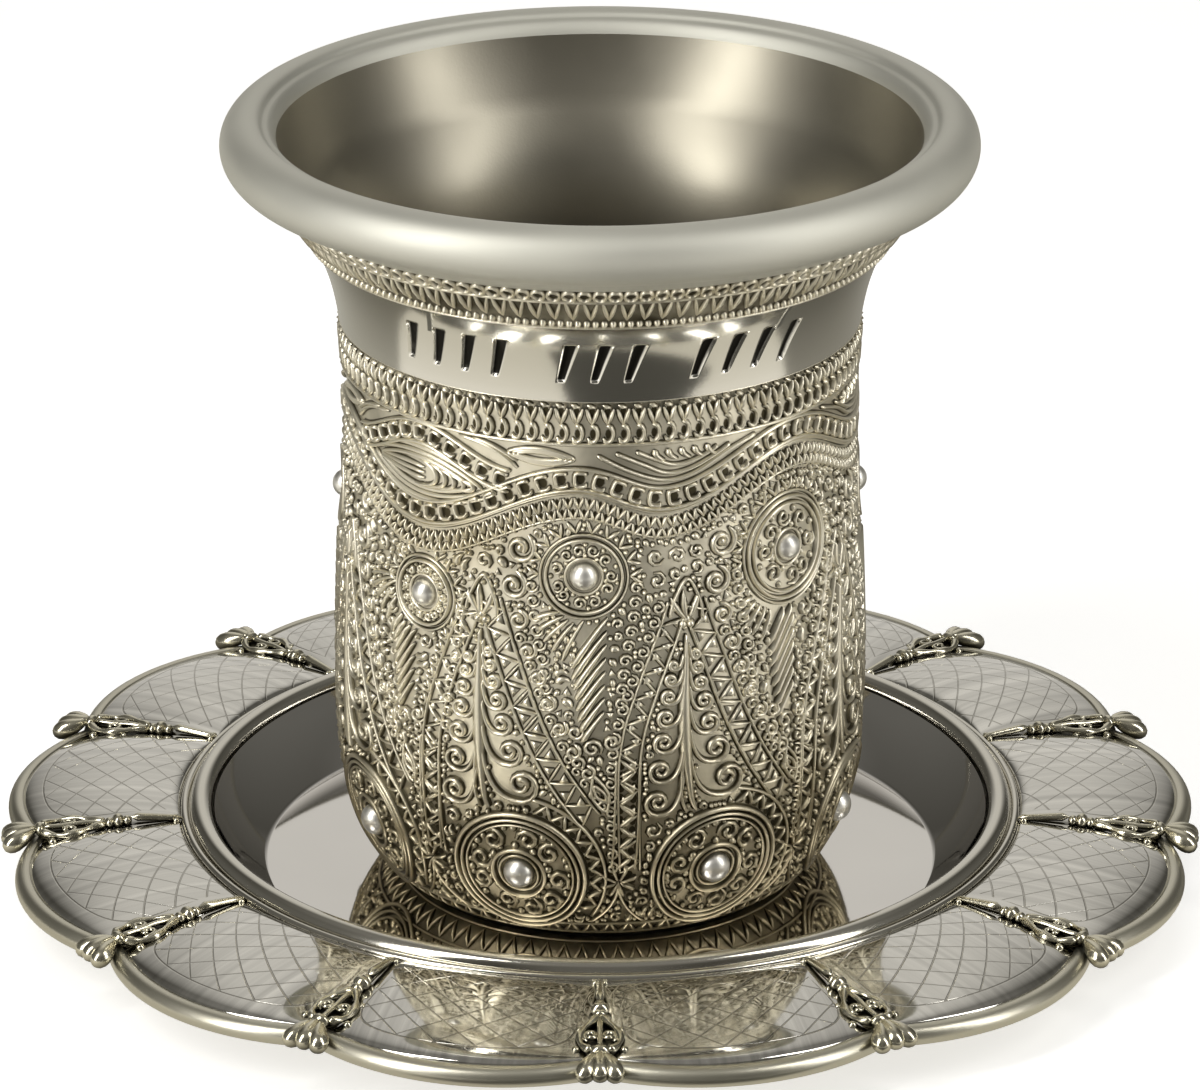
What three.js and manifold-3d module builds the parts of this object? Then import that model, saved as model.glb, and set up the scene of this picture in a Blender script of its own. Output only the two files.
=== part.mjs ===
// A kiddush cup standing in its scalloped saucer, both of plated silver-coloured metal.
// Millimetres, +Z up. The origin is on the axis, on the flat underside of the saucer.
// The front of the set, where the cup's inscription is, faces -Y.
import * as THREE from "three";
import * as BufferGeometryUtils from "three/addons/utils/BufferGeometryUtils.js";
import Module from "manifold-3d";

const wasm = await Module();
wasm.setup();

// ---- driving sizes of the saucer ---------------------------------------------------
const PETALS = 13; // petals of the saucer, with one cast rib between each two
const STEPS_PER_PETAL = 5; // facets across one petal
const PLATE = 1.2; // thickness of the saucer's floor
const SHELL = 1.4; // thickness of the petals
const FLOOR_RADIUS = 34.3; // flat floor of the well
const WELL_RADIUS = 39.6; // top of the well's wall, inside the ring
const WELL_DEPTH = 6.3; // from the floor to the foot of the ring
const RING_RADIUS = 41.0; // middle of the round ring
const RING_HALF = 1.15; // half the ring's width
const RING_TOP = 7.3; // top of the ring above the floor
const PETAL_START = 43.2; // where the petals leave the ring
const PETAL_TIP = 61.5; // outermost point of a petal
const PETAL_NOTCH = 58.6; // edge of the saucer between two petals
const RIM_WIDTH = 2.9; // smooth band along the petals' edge
const RIM_TOP = 5.4; // top of that band above the floor
const RIM_BOTTOM = 3.3; // lower edge of the saucer above the floor
const VALLEY_IN = 5.8; // height of the valley between petals, at the ring
const VALLEY_OUT = 4.7; // the same at the edge band
const PILLOW = 1.5; // how far a petal swells above its valleys

// ---- driving sizes of the cup ------------------------------------------------------
const FIT_GAP = 0.3; // clearance between the cup's foot and the saucer's floor
const REPEATS = 8; // repeats of the cup's ornament
const STEPS_PER_REPEAT = 5; // facets across one repeat
const WALL = 1.7; // thickness of the cup's wall
const CUP_FLOOR = 3.0; // inside floor above the foot
const FOOT_RECESS = 0.8; // depth of the hollow under the foot
const FOOT_INNER = 17.5; // inner radius of the foot's ring
// outside of the body: radius and height above the foot
const BODY = [
  [20.4, 0], [22.6, 2], [24.9, 6], [26.3, 12], [26.7, 20], [26.4, 32], [25.7, 46],
  [25.75, 54], [26.3, 60.5], [27.8, 65.8], [30.5, 70.1], [33.6, 73.9],
];
const LIP_RADIUS = 34.7; // centre of the rolled lip's section
const LIP_HEIGHT = 76.9;
const LIP_ROLL = 2.85; // radius of that section
const CROWN_ANGLE = -3.9; // degrees from the front to the first pendant, midway between two stems
const LEAN = 8; // degrees that the lower medallions stand past the stems

const LOWER_BAND = [54.4, 58.9]; // heights of the filigree bands
const UPPER_BAND = [67.4, 72.3];
const BAND_RELIEF = 0.35;
const WAVE_MIDDLE = -43; // degrees from the front to a deep trough; the wave mirrors about it
// crests and troughs of the beaded wave: degrees past the deep trough, and height
const WAVE = [[0, 45.1], [38.5, 50.8], [57, 48.6], [90, 53.1]];
const WAVE_HALF = 1.1; // half the beaded wave's width
const WAVE_RELIEF = 0.5;
const WAVE_SLOPE = 0.3; // width of the wave's sloping sides
const UPPER_MEDALLION = { relief: 0.55, stud: 1.3, sides: 7 };
// the upper medallions of half a turn: degrees from the front, height and radius
const UPPER_PLACES = [[-88.5, 40.8, 4.2], [-41.5, 36.6, 3.6], [-3.5, 40.8, 4.2], [45.5, 40.9, 5.4]];
const LOWER_MEDALLION = { relief: 0.6, stud: 1.5, sides: 8, radius: 6.8 };
const LOWER_HEIGHT = 8.4; // middle of the lower medallions
const STEM = { top: 36, bottom: 15, width: 2.2, relief: 0.5, lean: 0.5, curve: 1 };
const PENDANT = { top: 35.5, bottom: 18, width: 5.4, relief: 0.4, lean: 2.5, curve: 2 };
const STROKES = [4, 3, 4]; // strokes of the three groups that stand for the inscription
const STROKE = { height: 63.2, tall: 4, wide: 0.9, depth: 0.35, pitch: 3.3, gap: 3.4, tilt: 0.28 };

const silver = new THREE.MeshStandardMaterial({ color: 0xb9b4a2, roughness: 0.35, metalness: 1 });
const satin = new THREE.MeshStandardMaterial({ color: 0xbdb9b0, roughness: 0.3, metalness: 1 });

const radians = THREE.MathUtils.degToRad;

// ---- solids ------------------------------------------------------------------------
// A closed geometry as a solid: shared corners are merged and empty triangles dropped.
function solid(geometry) {
  const bare = geometry.clone();
  bare.deleteAttribute("normal");
  bare.deleteAttribute("uv");
  const merged = BufferGeometryUtils.mergeVertices(bare, 1e-4);
  const corners = merged.index.array;
  const triangles = [];
  for (let i = 0; i < corners.length; i += 3) {
    const [a, b, c] = corners.slice(i, i + 3);
    if (a !== b && b !== c && c !== a) triangles.push(a, b, c);
  }
  return new wasm.Manifold(new wasm.Mesh({
    numProp: 3,
    vertProperties: new Float32Array(merged.attributes.position.array),
    triVerts: new Uint32Array(triangles),
  }));
}

function meshOf(name, body, material) {
  const { vertProperties, triVerts } = body.getMesh();
  const geometry = new THREE.BufferGeometry();
  geometry.setAttribute("position", new THREE.BufferAttribute(vertProperties, 3));
  geometry.setIndex(new THREE.BufferAttribute(triVerts, 1));
  geometry.computeVertexNormals();
  const mesh = new THREE.Mesh(geometry, material);
  mesh.name = name;
  return mesh;
}

// Moves every corner of a geometry to the place that the function gives for it.
function reshape(geometry, place) {
  const position = geometry.attributes.position;
  const corner = new THREE.Vector3();
  for (let i = 0; i < position.count; i += 1) {
    corner.fromBufferAttribute(position, i);
    place(corner);
    position.setXYZ(i, corner.x, corner.y, corner.z);
  }
  return geometry;
}

// A solid of revolution about Z from [radius, height] points that run up the outside.
function turned(points, segments) {
  const profile = points.map(([radius, height]) => new THREE.Vector2(radius, height));
  return new THREE.LatheGeometry(profile, segments).rotateX(Math.PI / 2);
}

// Angle about Z from the front (-Y), growing towards +X.
const angleOf = (corner) => Math.atan2(corner.x, -corner.y);

function polar(corner, radius, angle, height) {
  corner.set(radius * Math.sin(angle), -radius * Math.cos(angle), height);
}

// A point on a circle of a section, with its angle in degrees.
const onCircle = (centre, height, roll, degrees) => [
  centre + roll * Math.cos(radians(degrees)),
  height + roll * Math.sin(radians(degrees)),
];

// ---- saucer ------------------------------------------------------------------------
const PETAL_HALF = Math.PI / PETALS;
// each petal's edge is an arc through its tip and its two notches
const chordHalf = PETAL_NOTCH * Math.sin(PETAL_HALF);
const bulge = PETAL_TIP - PETAL_NOTCH * Math.cos(PETAL_HALF);
const EDGE_ARC = (chordHalf ** 2 + bulge ** 2) / (2 * bulge);
const EDGE_CENTRE = PETAL_TIP - EDGE_ARC;

// Angle from the middle of the nearest petal; a rib stands at the front.
function petalAngle(angle) {
  const turn = angle / (2 * PETAL_HALF) - 0.5;
  return (turn - Math.round(turn)) * 2 * PETAL_HALF;
}

function edgeRadius(angle) {
  const inPetal = petalAngle(angle);
  const across = EDGE_CENTRE * Math.sin(inPetal);
  return EDGE_CENTRE * Math.cos(inPetal) + Math.sqrt(EDGE_ARC ** 2 - across ** 2);
}

// Height of the petals above the floor; along runs from the ring (0) to the edge band (1).
function petalHeight(along, angle) {
  const across = petalAngle(angle) / PETAL_HALF;
  const valley = THREE.MathUtils.lerp(VALLEY_IN, VALLEY_OUT, along);
  const lengthwise = Math.sin(Math.PI * along ** 0.75) ** 0.55;
  return valley + PILLOW * lengthwise * (1 - across ** 2) ** 0.6;
}

// Radius and height above the floor: underneath from the middle out, and the well inwards.
const UNDERSIDE = [
  [0, -PLATE], [FLOOR_RADIUS - 1, -PLATE], [FLOOR_RADIUS + 2, 0],
  [WELL_RADIUS, WELL_DEPTH - SHELL - 1.6],
];
const WELL = [[WELL_RADIUS, WELL_DEPTH], [FLOOR_RADIUS + 3.8, 2.6], [FLOOR_RADIUS, 0], [0, 0]];
const BEAD_WIDTH = 0.9; // the thin bead outside the ring
const BEAD_HEIGHT = 0.5;
// Rows of the petals between the ring (0) and the edge band (1), above and below.
const PETAL_ROWS = [0, 0.16, 0.6, 1];
const UNDER_ROWS = [0.6, 0.05];
// Rows of the edge band: distance in from the edge, and height above the floor.
const EDGE_ROWS = [
  [RIM_WIDTH - 0.5, RIM_TOP], [0.9, RIM_TOP], [0, RIM_TOP - 0.9],
  [0.1, RIM_BOTTOM], [2.2, RIM_BOTTOM],
];

// The saucer without its ribs, turned from rows that the petals then form.
function saucerBody() {
  const rows = [];
  const round = (radius, height) => rows.push({ radius: () => radius, height: () => height });
  const petal = (share, drop) => rows.push({
    radius: (angle) => {
      const outer = edgeRadius(angle) - RIM_WIDTH;
      return THREE.MathUtils.lerp(PETAL_START, outer, share);
    },
    height: (angle) => petalHeight(share, angle) - drop,
  });
  UNDERSIDE.forEach(([radius, height]) => round(radius, height));
  UNDER_ROWS.toReversed().forEach((share) => petal(share, SHELL));
  EDGE_ROWS.toReversed().forEach(([inset, height]) => rows.push({
    radius: (angle) => edgeRadius(angle) - inset,
    height: () => height,
  }));
  PETAL_ROWS.toReversed().forEach((share) => petal(share, 0));
  const base = RING_TOP - RING_HALF;
  round(RING_RADIUS + RING_HALF + BEAD_WIDTH, base + BEAD_HEIGHT);
  round(RING_RADIUS + RING_HALF, base);
  [50, 130].forEach((degrees) => round(...onCircle(RING_RADIUS, base, RING_HALF, degrees)));
  WELL.forEach(([radius, height]) => round(radius, height));

  // the profile is turned with its row number as the radius, then each row is placed
  const marked = rows.map((row, number) => [number === rows.length - 1 ? 0 : number, number]);
  const blank = turned(marked, PETALS * STEPS_PER_PETAL);
  return solid(reshape(blank, (corner) => {
    const row = rows[Math.round(corner.z)];
    const angle = angleOf(corner);
    polar(corner, row.radius(angle), angle, row.height(angle) + PLATE);
  }));
}

// One cast rib, lying along -Y: a stem from the ring, a bead, a spread leaf and a bell.
const RIB = [
  [0, 42.6], [0.55, 42.6], [0.65, 48.8], [1.1, 49.8], [0.65, 50.8], [2.5, 55.2],
  [1.2, 57.3], [2.1, 60.1], [1.5, 61.2], [0, 61.2],
];
const RIB_LIFT = 0.6; // middle of the rib above the valley that it covers

function saucerRib() {
  return solid(reshape(turned(RIB, 5).rotateX(Math.PI / 2), (corner) => {
    const along = (-corner.y - PETAL_START) / (PETAL_NOTCH - RIM_WIDTH - PETAL_START);
    const valley = THREE.MathUtils.lerp(VALLEY_IN, VALLEY_OUT, Math.min(along, 1));
    corner.z = corner.z * 0.75 + valley + RIB_LIFT + PLATE;
  }));
}

function saucer() {
  let body = saucerBody();
  const rib = saucerRib();
  for (let i = 0; i < PETALS; i += 1) {
    body = body.add(rib.rotate([0, 0, (360 / PETALS) * i]));
  }
  return meshOf("saucer", body, satin);
}

// ---- cup ---------------------------------------------------------------------------
const bodyLine = new THREE.SplineCurve(BODY.map(([radius, height]) => new THREE.Vector2(radius, height)));
const bodyPoints = bodyLine.getPoints(240);

function wallRadius(height) {
  const above = bodyPoints.findIndex((point) => point.y >= height);
  if (above <= 0) return above === 0 ? bodyPoints[0].x : bodyPoints.at(-1).x;
  const [low, high] = [bodyPoints[above - 1], bodyPoints[above]];
  return THREE.MathUtils.mapLinear(height, low.y, high.y, low.x, high.x);
}

// Height of the middle of the beaded wave, eased between its crests and troughs.
function waveHeight(angle) {
  const turn = THREE.MathUtils.radToDeg(angle) - WAVE_MIDDLE;
  const past = Math.abs(turn - 180 * Math.round(turn / 180));
  const next = Math.max(1, WAVE.findIndex(([degrees]) => degrees >= past));
  const [[start, from], [end, to]] = [WAVE[next - 1], WAVE[next]];
  const share = (past - start) / (end - start);
  return THREE.MathUtils.lerp(from, to, (1 - Math.cos(Math.PI * share)) / 2);
}

const BODY_ROWS = [0, 2.2, 7.5, 20]; // heights of the outside rows below the wave
const PLAIN_ROW = 63.5; // a row in the plain band between the filigree bands
const LIP_DEGREES = [-95, -30, 25, 85, 150]; // corners of the lip's round section
const INSIDE_ROWS = [70, 56, 18, 6.5]; // heights of the inside rows, downwards
const FLOOR_CURVE = 3; // how far the inside floor's corner is rounded

function cupBody() {
  const rows = [];
  const round = (radius, height) => rows.push({ radius, height: () => height });
  const wall = (height, relief = 0) => round(wallRadius(height) + relief, height);
  const wave = (offset, relief) => rows.push({
    radius: wallRadius(WAVE[1][1]) + relief,
    height: (angle) => waveHeight(angle) + offset,
  });
  round(0, FOOT_RECESS);
  round(FOOT_INNER, FOOT_RECESS);
  round(FOOT_INNER + FOOT_RECESS, 0);
  BODY_ROWS.forEach((height) => wall(height));
  wave(-WAVE_HALF - WAVE_SLOPE, 0);
  wave(-WAVE_HALF, WAVE_RELIEF);
  wave(WAVE_HALF, WAVE_RELIEF);
  wave(WAVE_HALF + WAVE_SLOPE, 0);
  wall(LOWER_BAND[0]);
  wall(LOWER_BAND[0], BAND_RELIEF);
  wall(LOWER_BAND[1], BAND_RELIEF);
  wall(LOWER_BAND[1]);
  wall(PLAIN_ROW);
  wall(UPPER_BAND[0]);
  wall(UPPER_BAND[0], BAND_RELIEF);
  wall(UPPER_BAND[1], BAND_RELIEF);
  LIP_DEGREES.forEach((degrees) => round(...onCircle(LIP_RADIUS, LIP_HEIGHT, LIP_ROLL, degrees)));
  INSIDE_ROWS.forEach((height) => wall(height, -WALL));
  round(wallRadius(INSIDE_ROWS.at(-1)) - WALL - FLOOR_CURVE, CUP_FLOOR);
  round(0, CUP_FLOOR);

  const marked = rows.map((row, number) => [number === rows.length - 1 ? 0 : number, number]);
  const blank = turned(marked, REPEATS * STEPS_PER_REPEAT);
  return solid(reshape(blank.rotateZ(radians(WAVE_MIDDLE)), (corner) => {
    const row = rows[Math.round(corner.z)];
    const angle = angleOf(corner);
    polar(corner, row.radius, angle, row.height(angle));
  }));
}

// Wraps a piece onto the wall: x runs round the cup, y up and z outwards.
function onWall(geometry, degrees, height) {
  const near = wallRadius(height);
  return solid(reshape(geometry, (corner) => {
    const up = height + corner.y;
    polar(corner, wallRadius(up) + corner.z, radians(degrees) + corner.x / near, up);
  }));
}

const SUNK = 0.9; // how deep the ornaments are rooted in the wall

// A round medallion: a low disc with a raised stud in its middle.
function medallion({ radius, relief, stud, sides }) {
  const profile = [
    [0, -SUNK], [radius, -SUNK], [radius - 0.3, relief],
    [stud + 0.2, relief], [stud * 0.7, relief + 0.6], [0, relief + 0.8],
  ];
  return turned(profile, sides);
}

// A pointed leaf standing upright, leaning by the given distance towards its foot.
function leaf({ top, bottom, width, relief, lean, curve }) {
  const half = (top - bottom) / 2;
  const outline = new THREE.Shape();
  outline.moveTo(0, -half);
  outline.quadraticCurveTo(width / 2, -half * 0.3, width / 2, 0);
  outline.quadraticCurveTo(width / 2, half * 0.5, 0, half);
  outline.quadraticCurveTo(-width / 2, half * 0.5, -width / 2, 0);
  outline.quadraticCurveTo(-width / 2, -half * 0.3, 0, -half);
  const blade = new THREE.ExtrudeGeometry(outline, {
    depth: SUNK + relief, bevelEnabled: false, curveSegments: curve,
  });
  blade.translate(0, 0, -SUNK);
  return reshape(blade, (corner) => {
    corner.x -= (corner.y / half / 2) * lean;
  });
}

// The place of the inscription: groups of slanted tapered strokes, sunk into the band.
function inscription() {
  const cuts = [];
  const { height, tall, wide, depth, pitch, gap, tilt } = STROKE;
  const count = STROKES.reduce((sum, group) => sum + group, 0);
  const length = (count - STROKES.length) * pitch + (STROKES.length - 1) * (pitch + gap);
  let along = -length / 2;
  STROKES.forEach((group) => {
    for (let i = 0; i < group; i += 1) {
      const cut = new THREE.CylinderGeometry(wide * 0.7, wide * 0.35, tall, 4);
      reshape(cut.rotateY(Math.PI / 4), (corner) => {
        corner.set(corner.x + corner.y * tilt, corner.y, corner.z > 0 ? 1.5 : -depth);
      });
      const degrees = THREE.MathUtils.radToDeg(along / wallRadius(height));
      cuts.push(onWall(cut, degrees, height));
      along += pitch;
    }
    along += gap;
  });
  return cuts;
}

function cup() {
  let body = cupBody();
  for (let i = 0; i < REPEATS; i += 1) {
    const crown = CROWN_ANGLE + (360 / REPEATS) * i;
    const between = crown + 180 / REPEATS;
    [
      onWall(medallion(LOWER_MEDALLION), between + LEAN, LOWER_HEIGHT),
      onWall(leaf(STEM), between, (STEM.top + STEM.bottom) / 2),
      onWall(leaf(PENDANT), crown + LEAN / 2, (PENDANT.top + PENDANT.bottom) / 2),
    ].forEach((piece) => {
      body = body.add(piece);
    });
  }
  [0, 180].forEach((half) => UPPER_PLACES.forEach(([degrees, height, radius]) => {
    const raised = medallion({ ...UPPER_MEDALLION, radius });
    body = body.add(onWall(raised, degrees + half, height));
  }));
  inscription().forEach((cut) => {
    body = body.subtract(cut);
  });
  const mesh = meshOf("cup", body, silver);
  mesh.position.z = PLATE + FIT_GAP;
  return mesh;
}

const set = new THREE.Group();
set.add(saucer(), cup());

export default set;
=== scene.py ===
# The looks of a silver-plated kiddush cup with filigree relief, standing in its scalloped saucer.
# Shapes are worked out in millimetres. An angle is measured about Z from the front (-Y) towards +X.
from math import atan2, cos, degrees, pi, radians, sin
import bpy
import numpy as np
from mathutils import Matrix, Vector

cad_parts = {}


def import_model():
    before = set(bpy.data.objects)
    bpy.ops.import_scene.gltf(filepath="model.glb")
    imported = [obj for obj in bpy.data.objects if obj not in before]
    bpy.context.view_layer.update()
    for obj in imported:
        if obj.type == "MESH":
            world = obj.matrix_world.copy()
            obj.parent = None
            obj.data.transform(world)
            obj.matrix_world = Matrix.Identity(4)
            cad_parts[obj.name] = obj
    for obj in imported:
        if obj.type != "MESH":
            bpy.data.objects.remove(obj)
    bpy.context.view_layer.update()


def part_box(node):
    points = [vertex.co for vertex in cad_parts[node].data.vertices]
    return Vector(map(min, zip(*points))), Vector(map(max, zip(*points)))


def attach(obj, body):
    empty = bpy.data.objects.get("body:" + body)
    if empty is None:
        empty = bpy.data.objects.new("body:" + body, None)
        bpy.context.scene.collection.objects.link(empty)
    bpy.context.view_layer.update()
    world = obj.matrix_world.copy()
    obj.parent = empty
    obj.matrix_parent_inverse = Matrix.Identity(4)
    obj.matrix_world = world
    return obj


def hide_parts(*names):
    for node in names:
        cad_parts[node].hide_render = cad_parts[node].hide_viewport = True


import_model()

MM = 0.001
TURN = 2 * pi
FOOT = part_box("cup")[0].z / MM  # height of the cup's foot above the table
PLATE = 1.2  # thickness of the saucer's floor, whose top is the zero of the saucer's heights


# ---- mesh helpers ----
class Shape:
    """Points and quads of one piece, with values for each point that the materials read."""

    def __init__(self):
        self.points, self.faces, self.slots, self.values = [], [], [], {}
        self.count = 0

    def grid(self, points, slot=0, loop_rows=False, loop_columns=False, **values):
        """Joins a (rows, columns, 3) grid of points; its front is where rows x columns point."""
        rows, columns = points.shape[:2]
        index = np.arange(rows * columns).reshape(rows, columns) + self.count
        if loop_rows:
            index = np.concatenate([index, index[:1]])
        if loop_columns:
            index = np.concatenate([index, index[:, :1]], axis=1)
        corners = [index[:-1, :-1], index[1:, :-1], index[1:, 1:], index[:-1, 1:]]
        quads = np.stack(corners, axis=-1).reshape(-1, 4)
        self.points.append(points.reshape(-1, 3))
        self.faces.append(quads)
        self.slots.append(np.full(len(quads), slot))
        values.setdefault("rise", 1.0)
        for name, value in values.items():
            value = np.broadcast_to(value, (rows, columns)).reshape(-1)
            self.values.setdefault(name, []).append((self.count, value))
        self.count += rows * columns

    def piece(self, name, node, slot_name, materials):
        """Makes the object, which rides on the root body and stands for a CAD node."""
        points = np.concatenate(self.points) * MM
        faces = np.concatenate(self.faces)
        mesh = bpy.data.meshes.new(name)
        mesh.vertices.add(len(points))
        mesh.vertices.foreach_set("co", points.ravel())
        mesh.loops.add(faces.size)
        mesh.loops.foreach_set("vertex_index", faces.ravel())
        mesh.polygons.add(len(faces))
        mesh.polygons.foreach_set("loop_start", np.arange(0, faces.size, 4))
        mesh.polygons.foreach_set("material_index", np.concatenate(self.slots))
        mesh.polygons.foreach_set("use_smooth", np.ones(len(faces), dtype=bool))
        for value_name, parts in self.values.items():
            column = np.zeros(len(points))
            for start, value in parts:
                column[start:start + len(value)] = value
            mesh.attributes.new(value_name, "FLOAT", "POINT").data.foreach_set("value", column)
        mesh.update(calc_edges=True)
        mesh.validate()
        for material in materials:
            mesh.materials.append(material)
        made = bpy.data.objects.new(name, mesh)
        bpy.context.collection.objects.link(made)
        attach(made, "root")
        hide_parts(node)


def polar(radius, angle, height):
    return np.stack(np.broadcast_arrays(radius * np.sin(angle), -radius * np.cos(angle), height), axis=-1)


def angles(count):
    return np.arange(count) * TURN / count


def lathe(shape, profile, base, segments=200, slot=0, rise=1.0):
    """Turns (radius, height) points about Z; they run up an outside, or down an inside."""
    radius, height = np.array(profile, dtype=float).T
    around = angles(segments)[:, None]
    points = polar(radius[None, :], around, height[None, :] + base)
    shape.grid(points, slot, loop_rows=True, rise=rise)


def curve_through(points, samples):
    """Uniform Catmull-Rom curve through the points, with its ends repeated."""
    points = np.array(points, dtype=float)
    padded = np.concatenate([points[:1], points, points[-1:]])
    at = np.linspace(0, len(points) - 1, samples)
    first = np.minimum(at.astype(int), len(points) - 2)
    t = (at - first)[:, None]
    p0, p1, p2, p3 = (padded[first + k] for k in range(4))
    v0, v1 = (p2 - p0) / 2, (p3 - p1) / 2
    return ((2 * p1 - 2 * p2 + v0 + v1) * t ** 3 + (-3 * p1 + 3 * p2 - 2 * v0 - v1) * t ** 2 + v0 * t + p1)


def circled(centre, radius, turn, squash=1.0):
    return np.stack([centre[0] + radius * np.cos(turn), centre[1] + radius * squash * np.sin(turn)], axis=1)


def arc(radius, start, end, steps, centre=(0, 0), squash=1.0):
    return circled(centre, radius, np.radians(np.linspace(start, end, steps)), squash)


def bezier(start, pull, end, steps=10):
    t = np.linspace(0, 1, steps)[:, None]
    start, pull, end = (np.array(p, dtype=float) for p in (start, pull, end))
    return start * (1 - t) ** 2 + pull * 2 * t * (1 - t) + end * t ** 2


# ---- materials ----
class Nodes:
    """Adds nodes to one tree; an input is given as a value or as another node's socket."""

    def __init__(self, tree):
        self.tree = tree

    def feed(self, socket, value):
        if isinstance(value, bpy.types.NodeSocket):
            self.tree.links.new(value, socket)
        else:
            socket.default_value = value

    def add(self, kind, settings=None, **inputs):
        """Inputs go by name, with _ for a space."""
        made = self.tree.nodes.new("ShaderNode" + kind)
        for key, value in (settings or {}).items():
            setattr(made, key, value)
        for key, value in inputs.items():
            self.feed(made.inputs[key.replace("_", " ")], value)
        return made

    def place(self):
        return self.add("TexCoord").outputs["Object"]

    def noise(self, scale, detail=3.0):
        return self.add("TexNoise", Vector=self.place(), Scale=scale, Detail=detail).outputs["Fac"]

    def attribute(self, name, output="Fac"):
        return self.add("Attribute", {"attribute_name": name}).outputs[output]

    def mixed(self, share, low, high):
        """A colour that runs from low to high as share goes from 0 to 1."""
        mix = self.add("Mix", {"data_type": "RGBA"}, Factor=share)
        for socket, value in zip(mix.inputs[6:8], (low, high)):
            self.feed(socket, value if isinstance(value, bpy.types.NodeSocket) else (*value, 1.0))
        return mix.outputs[2]

    def ranged(self, value, low, high, start=0.0, end=1.0, kind="LINEAR"):
        """Maps a value from low..high to start..end."""
        limits = {"From_Min": low, "From_Max": high, "To_Min": start, "To_Max": end}
        return self.add("MapRange", {"interpolation_type": kind}, Value=value, **limits).outputs["Result"]

    def eased(self, *values):
        return self.ranged(*values, kind="SMOOTHSTEP")

    def maths(self, operation, *values):
        node = self.add("Math", {"operation": operation})
        for socket, value in zip(node.inputs, values):
            self.feed(socket, value)
        return node.outputs[0]


class Metal(Nodes):
    """A new metal material with its shader."""

    def __init__(self, name):
        self.material = bpy.data.materials.new(name)
        self.material.use_nodes = True
        super().__init__(self.material.node_tree)
        self.shader = self.tree.nodes["Principled BSDF"]
        self.shader.inputs["Metallic"].default_value = 1.0

    def finish(self, colour, rough, height, depth):
        """Sets the colour and the roughness, and a bump of the given depth in millimetres."""
        bump = self.add("Bump", Height=height, Distance=depth * MM)
        bumped = bump.outputs["Normal"]
        for key, value in (("Base Color", colour), ("Roughness", rough), ("Normal", bumped)):
            self.feed(self.shader.inputs[key], value)
        return self.material


STAIN = (0.5, 0.42, 0.25)  # brown bloom of the tarnish
FOOT_DARKENING_UP_TO = (2, 32)  # the darker, browner foot colour (tarnish and painted shade) fades out between these heights
GRAIN_SCALE = {"satin": 3500.0, "relief": 2400.0}


def patinated_and_shaded(name, top, recess, smooth, dull, grain=0.012, foot_tarnish_and_shade=None):
    """Relief metal: bright and smooth where the rise is high, dark and dull where it is low (patina in
    recesses, painted shade on the ribs), and darker and browner at the foot, partly tarnish and partly
    painted shade.
    """
    made = Metal(name)
    rise = made.attribute("rise")
    if foot_tarnish_and_shade:
        # Painted shade with tarnish: low on the cup the colour turns to the darker, browner foot colour,
        # and the recesses darken further.
        height = made.add("SeparateXYZ", Vector=made.place()).outputs["Z"]
        share_above_foot = made.eased(height, FOOT_DARKENING_UP_TO[0] * MM, FOOT_DARKENING_UP_TO[1] * MM)
        top = made.mixed(share_above_foot, foot_tarnish_and_shade, top)
        top = made.mixed(made.eased(made.noise(42.0), 0.56, 0.72, 0.0, 0.5), top, STAIN)
        depth = made.maths("SUBTRACT", 1.0, rise)
        darker = made.maths("MULTIPLY", depth, made.ranged(share_above_foot, 0.0, 1.0, 0.85, 0.0))
        rise = made.maths("SUBTRACT", rise, darker)
    uneven = made.maths("ADD", rise, made.ranged(made.noise(260.0), 0.3, 0.7, -0.16, 0.16))
    share = made.eased(uneven, 0.05, 0.8)
    return made.finish(made.mixed(share, recess, top), made.ranged(share, 0.0, 1.0, dull, smooth),
                       made.noise(GRAIN_SCALE["relief"], 2.0), grain)


def satin(name, colour, rough, streak=0.05, grain=0.006):
    """Plain metal with a fine satin grain and a faint cloudiness."""
    made = Metal(name)
    cloud = made.noise(55.0)
    return made.finish(made.mixed(cloud, [0.9 * part for part in colour], colour),
                       made.ranged(cloud, 0.3, 0.7, rough - streak, rough + streak),
                       made.noise(GRAIN_SCALE["satin"], 2.0), grain)


HATCH_SPACING = 2.5  # between the engraved lines of a petal
HATCH_HALF = 0.08  # half a line's width
OUTLINE_INSET = 2.4  # from a petal's edge to its engraved outline
LINE_SHADE = 0.62  # how far a line takes the metal towards the lines' colour


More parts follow.
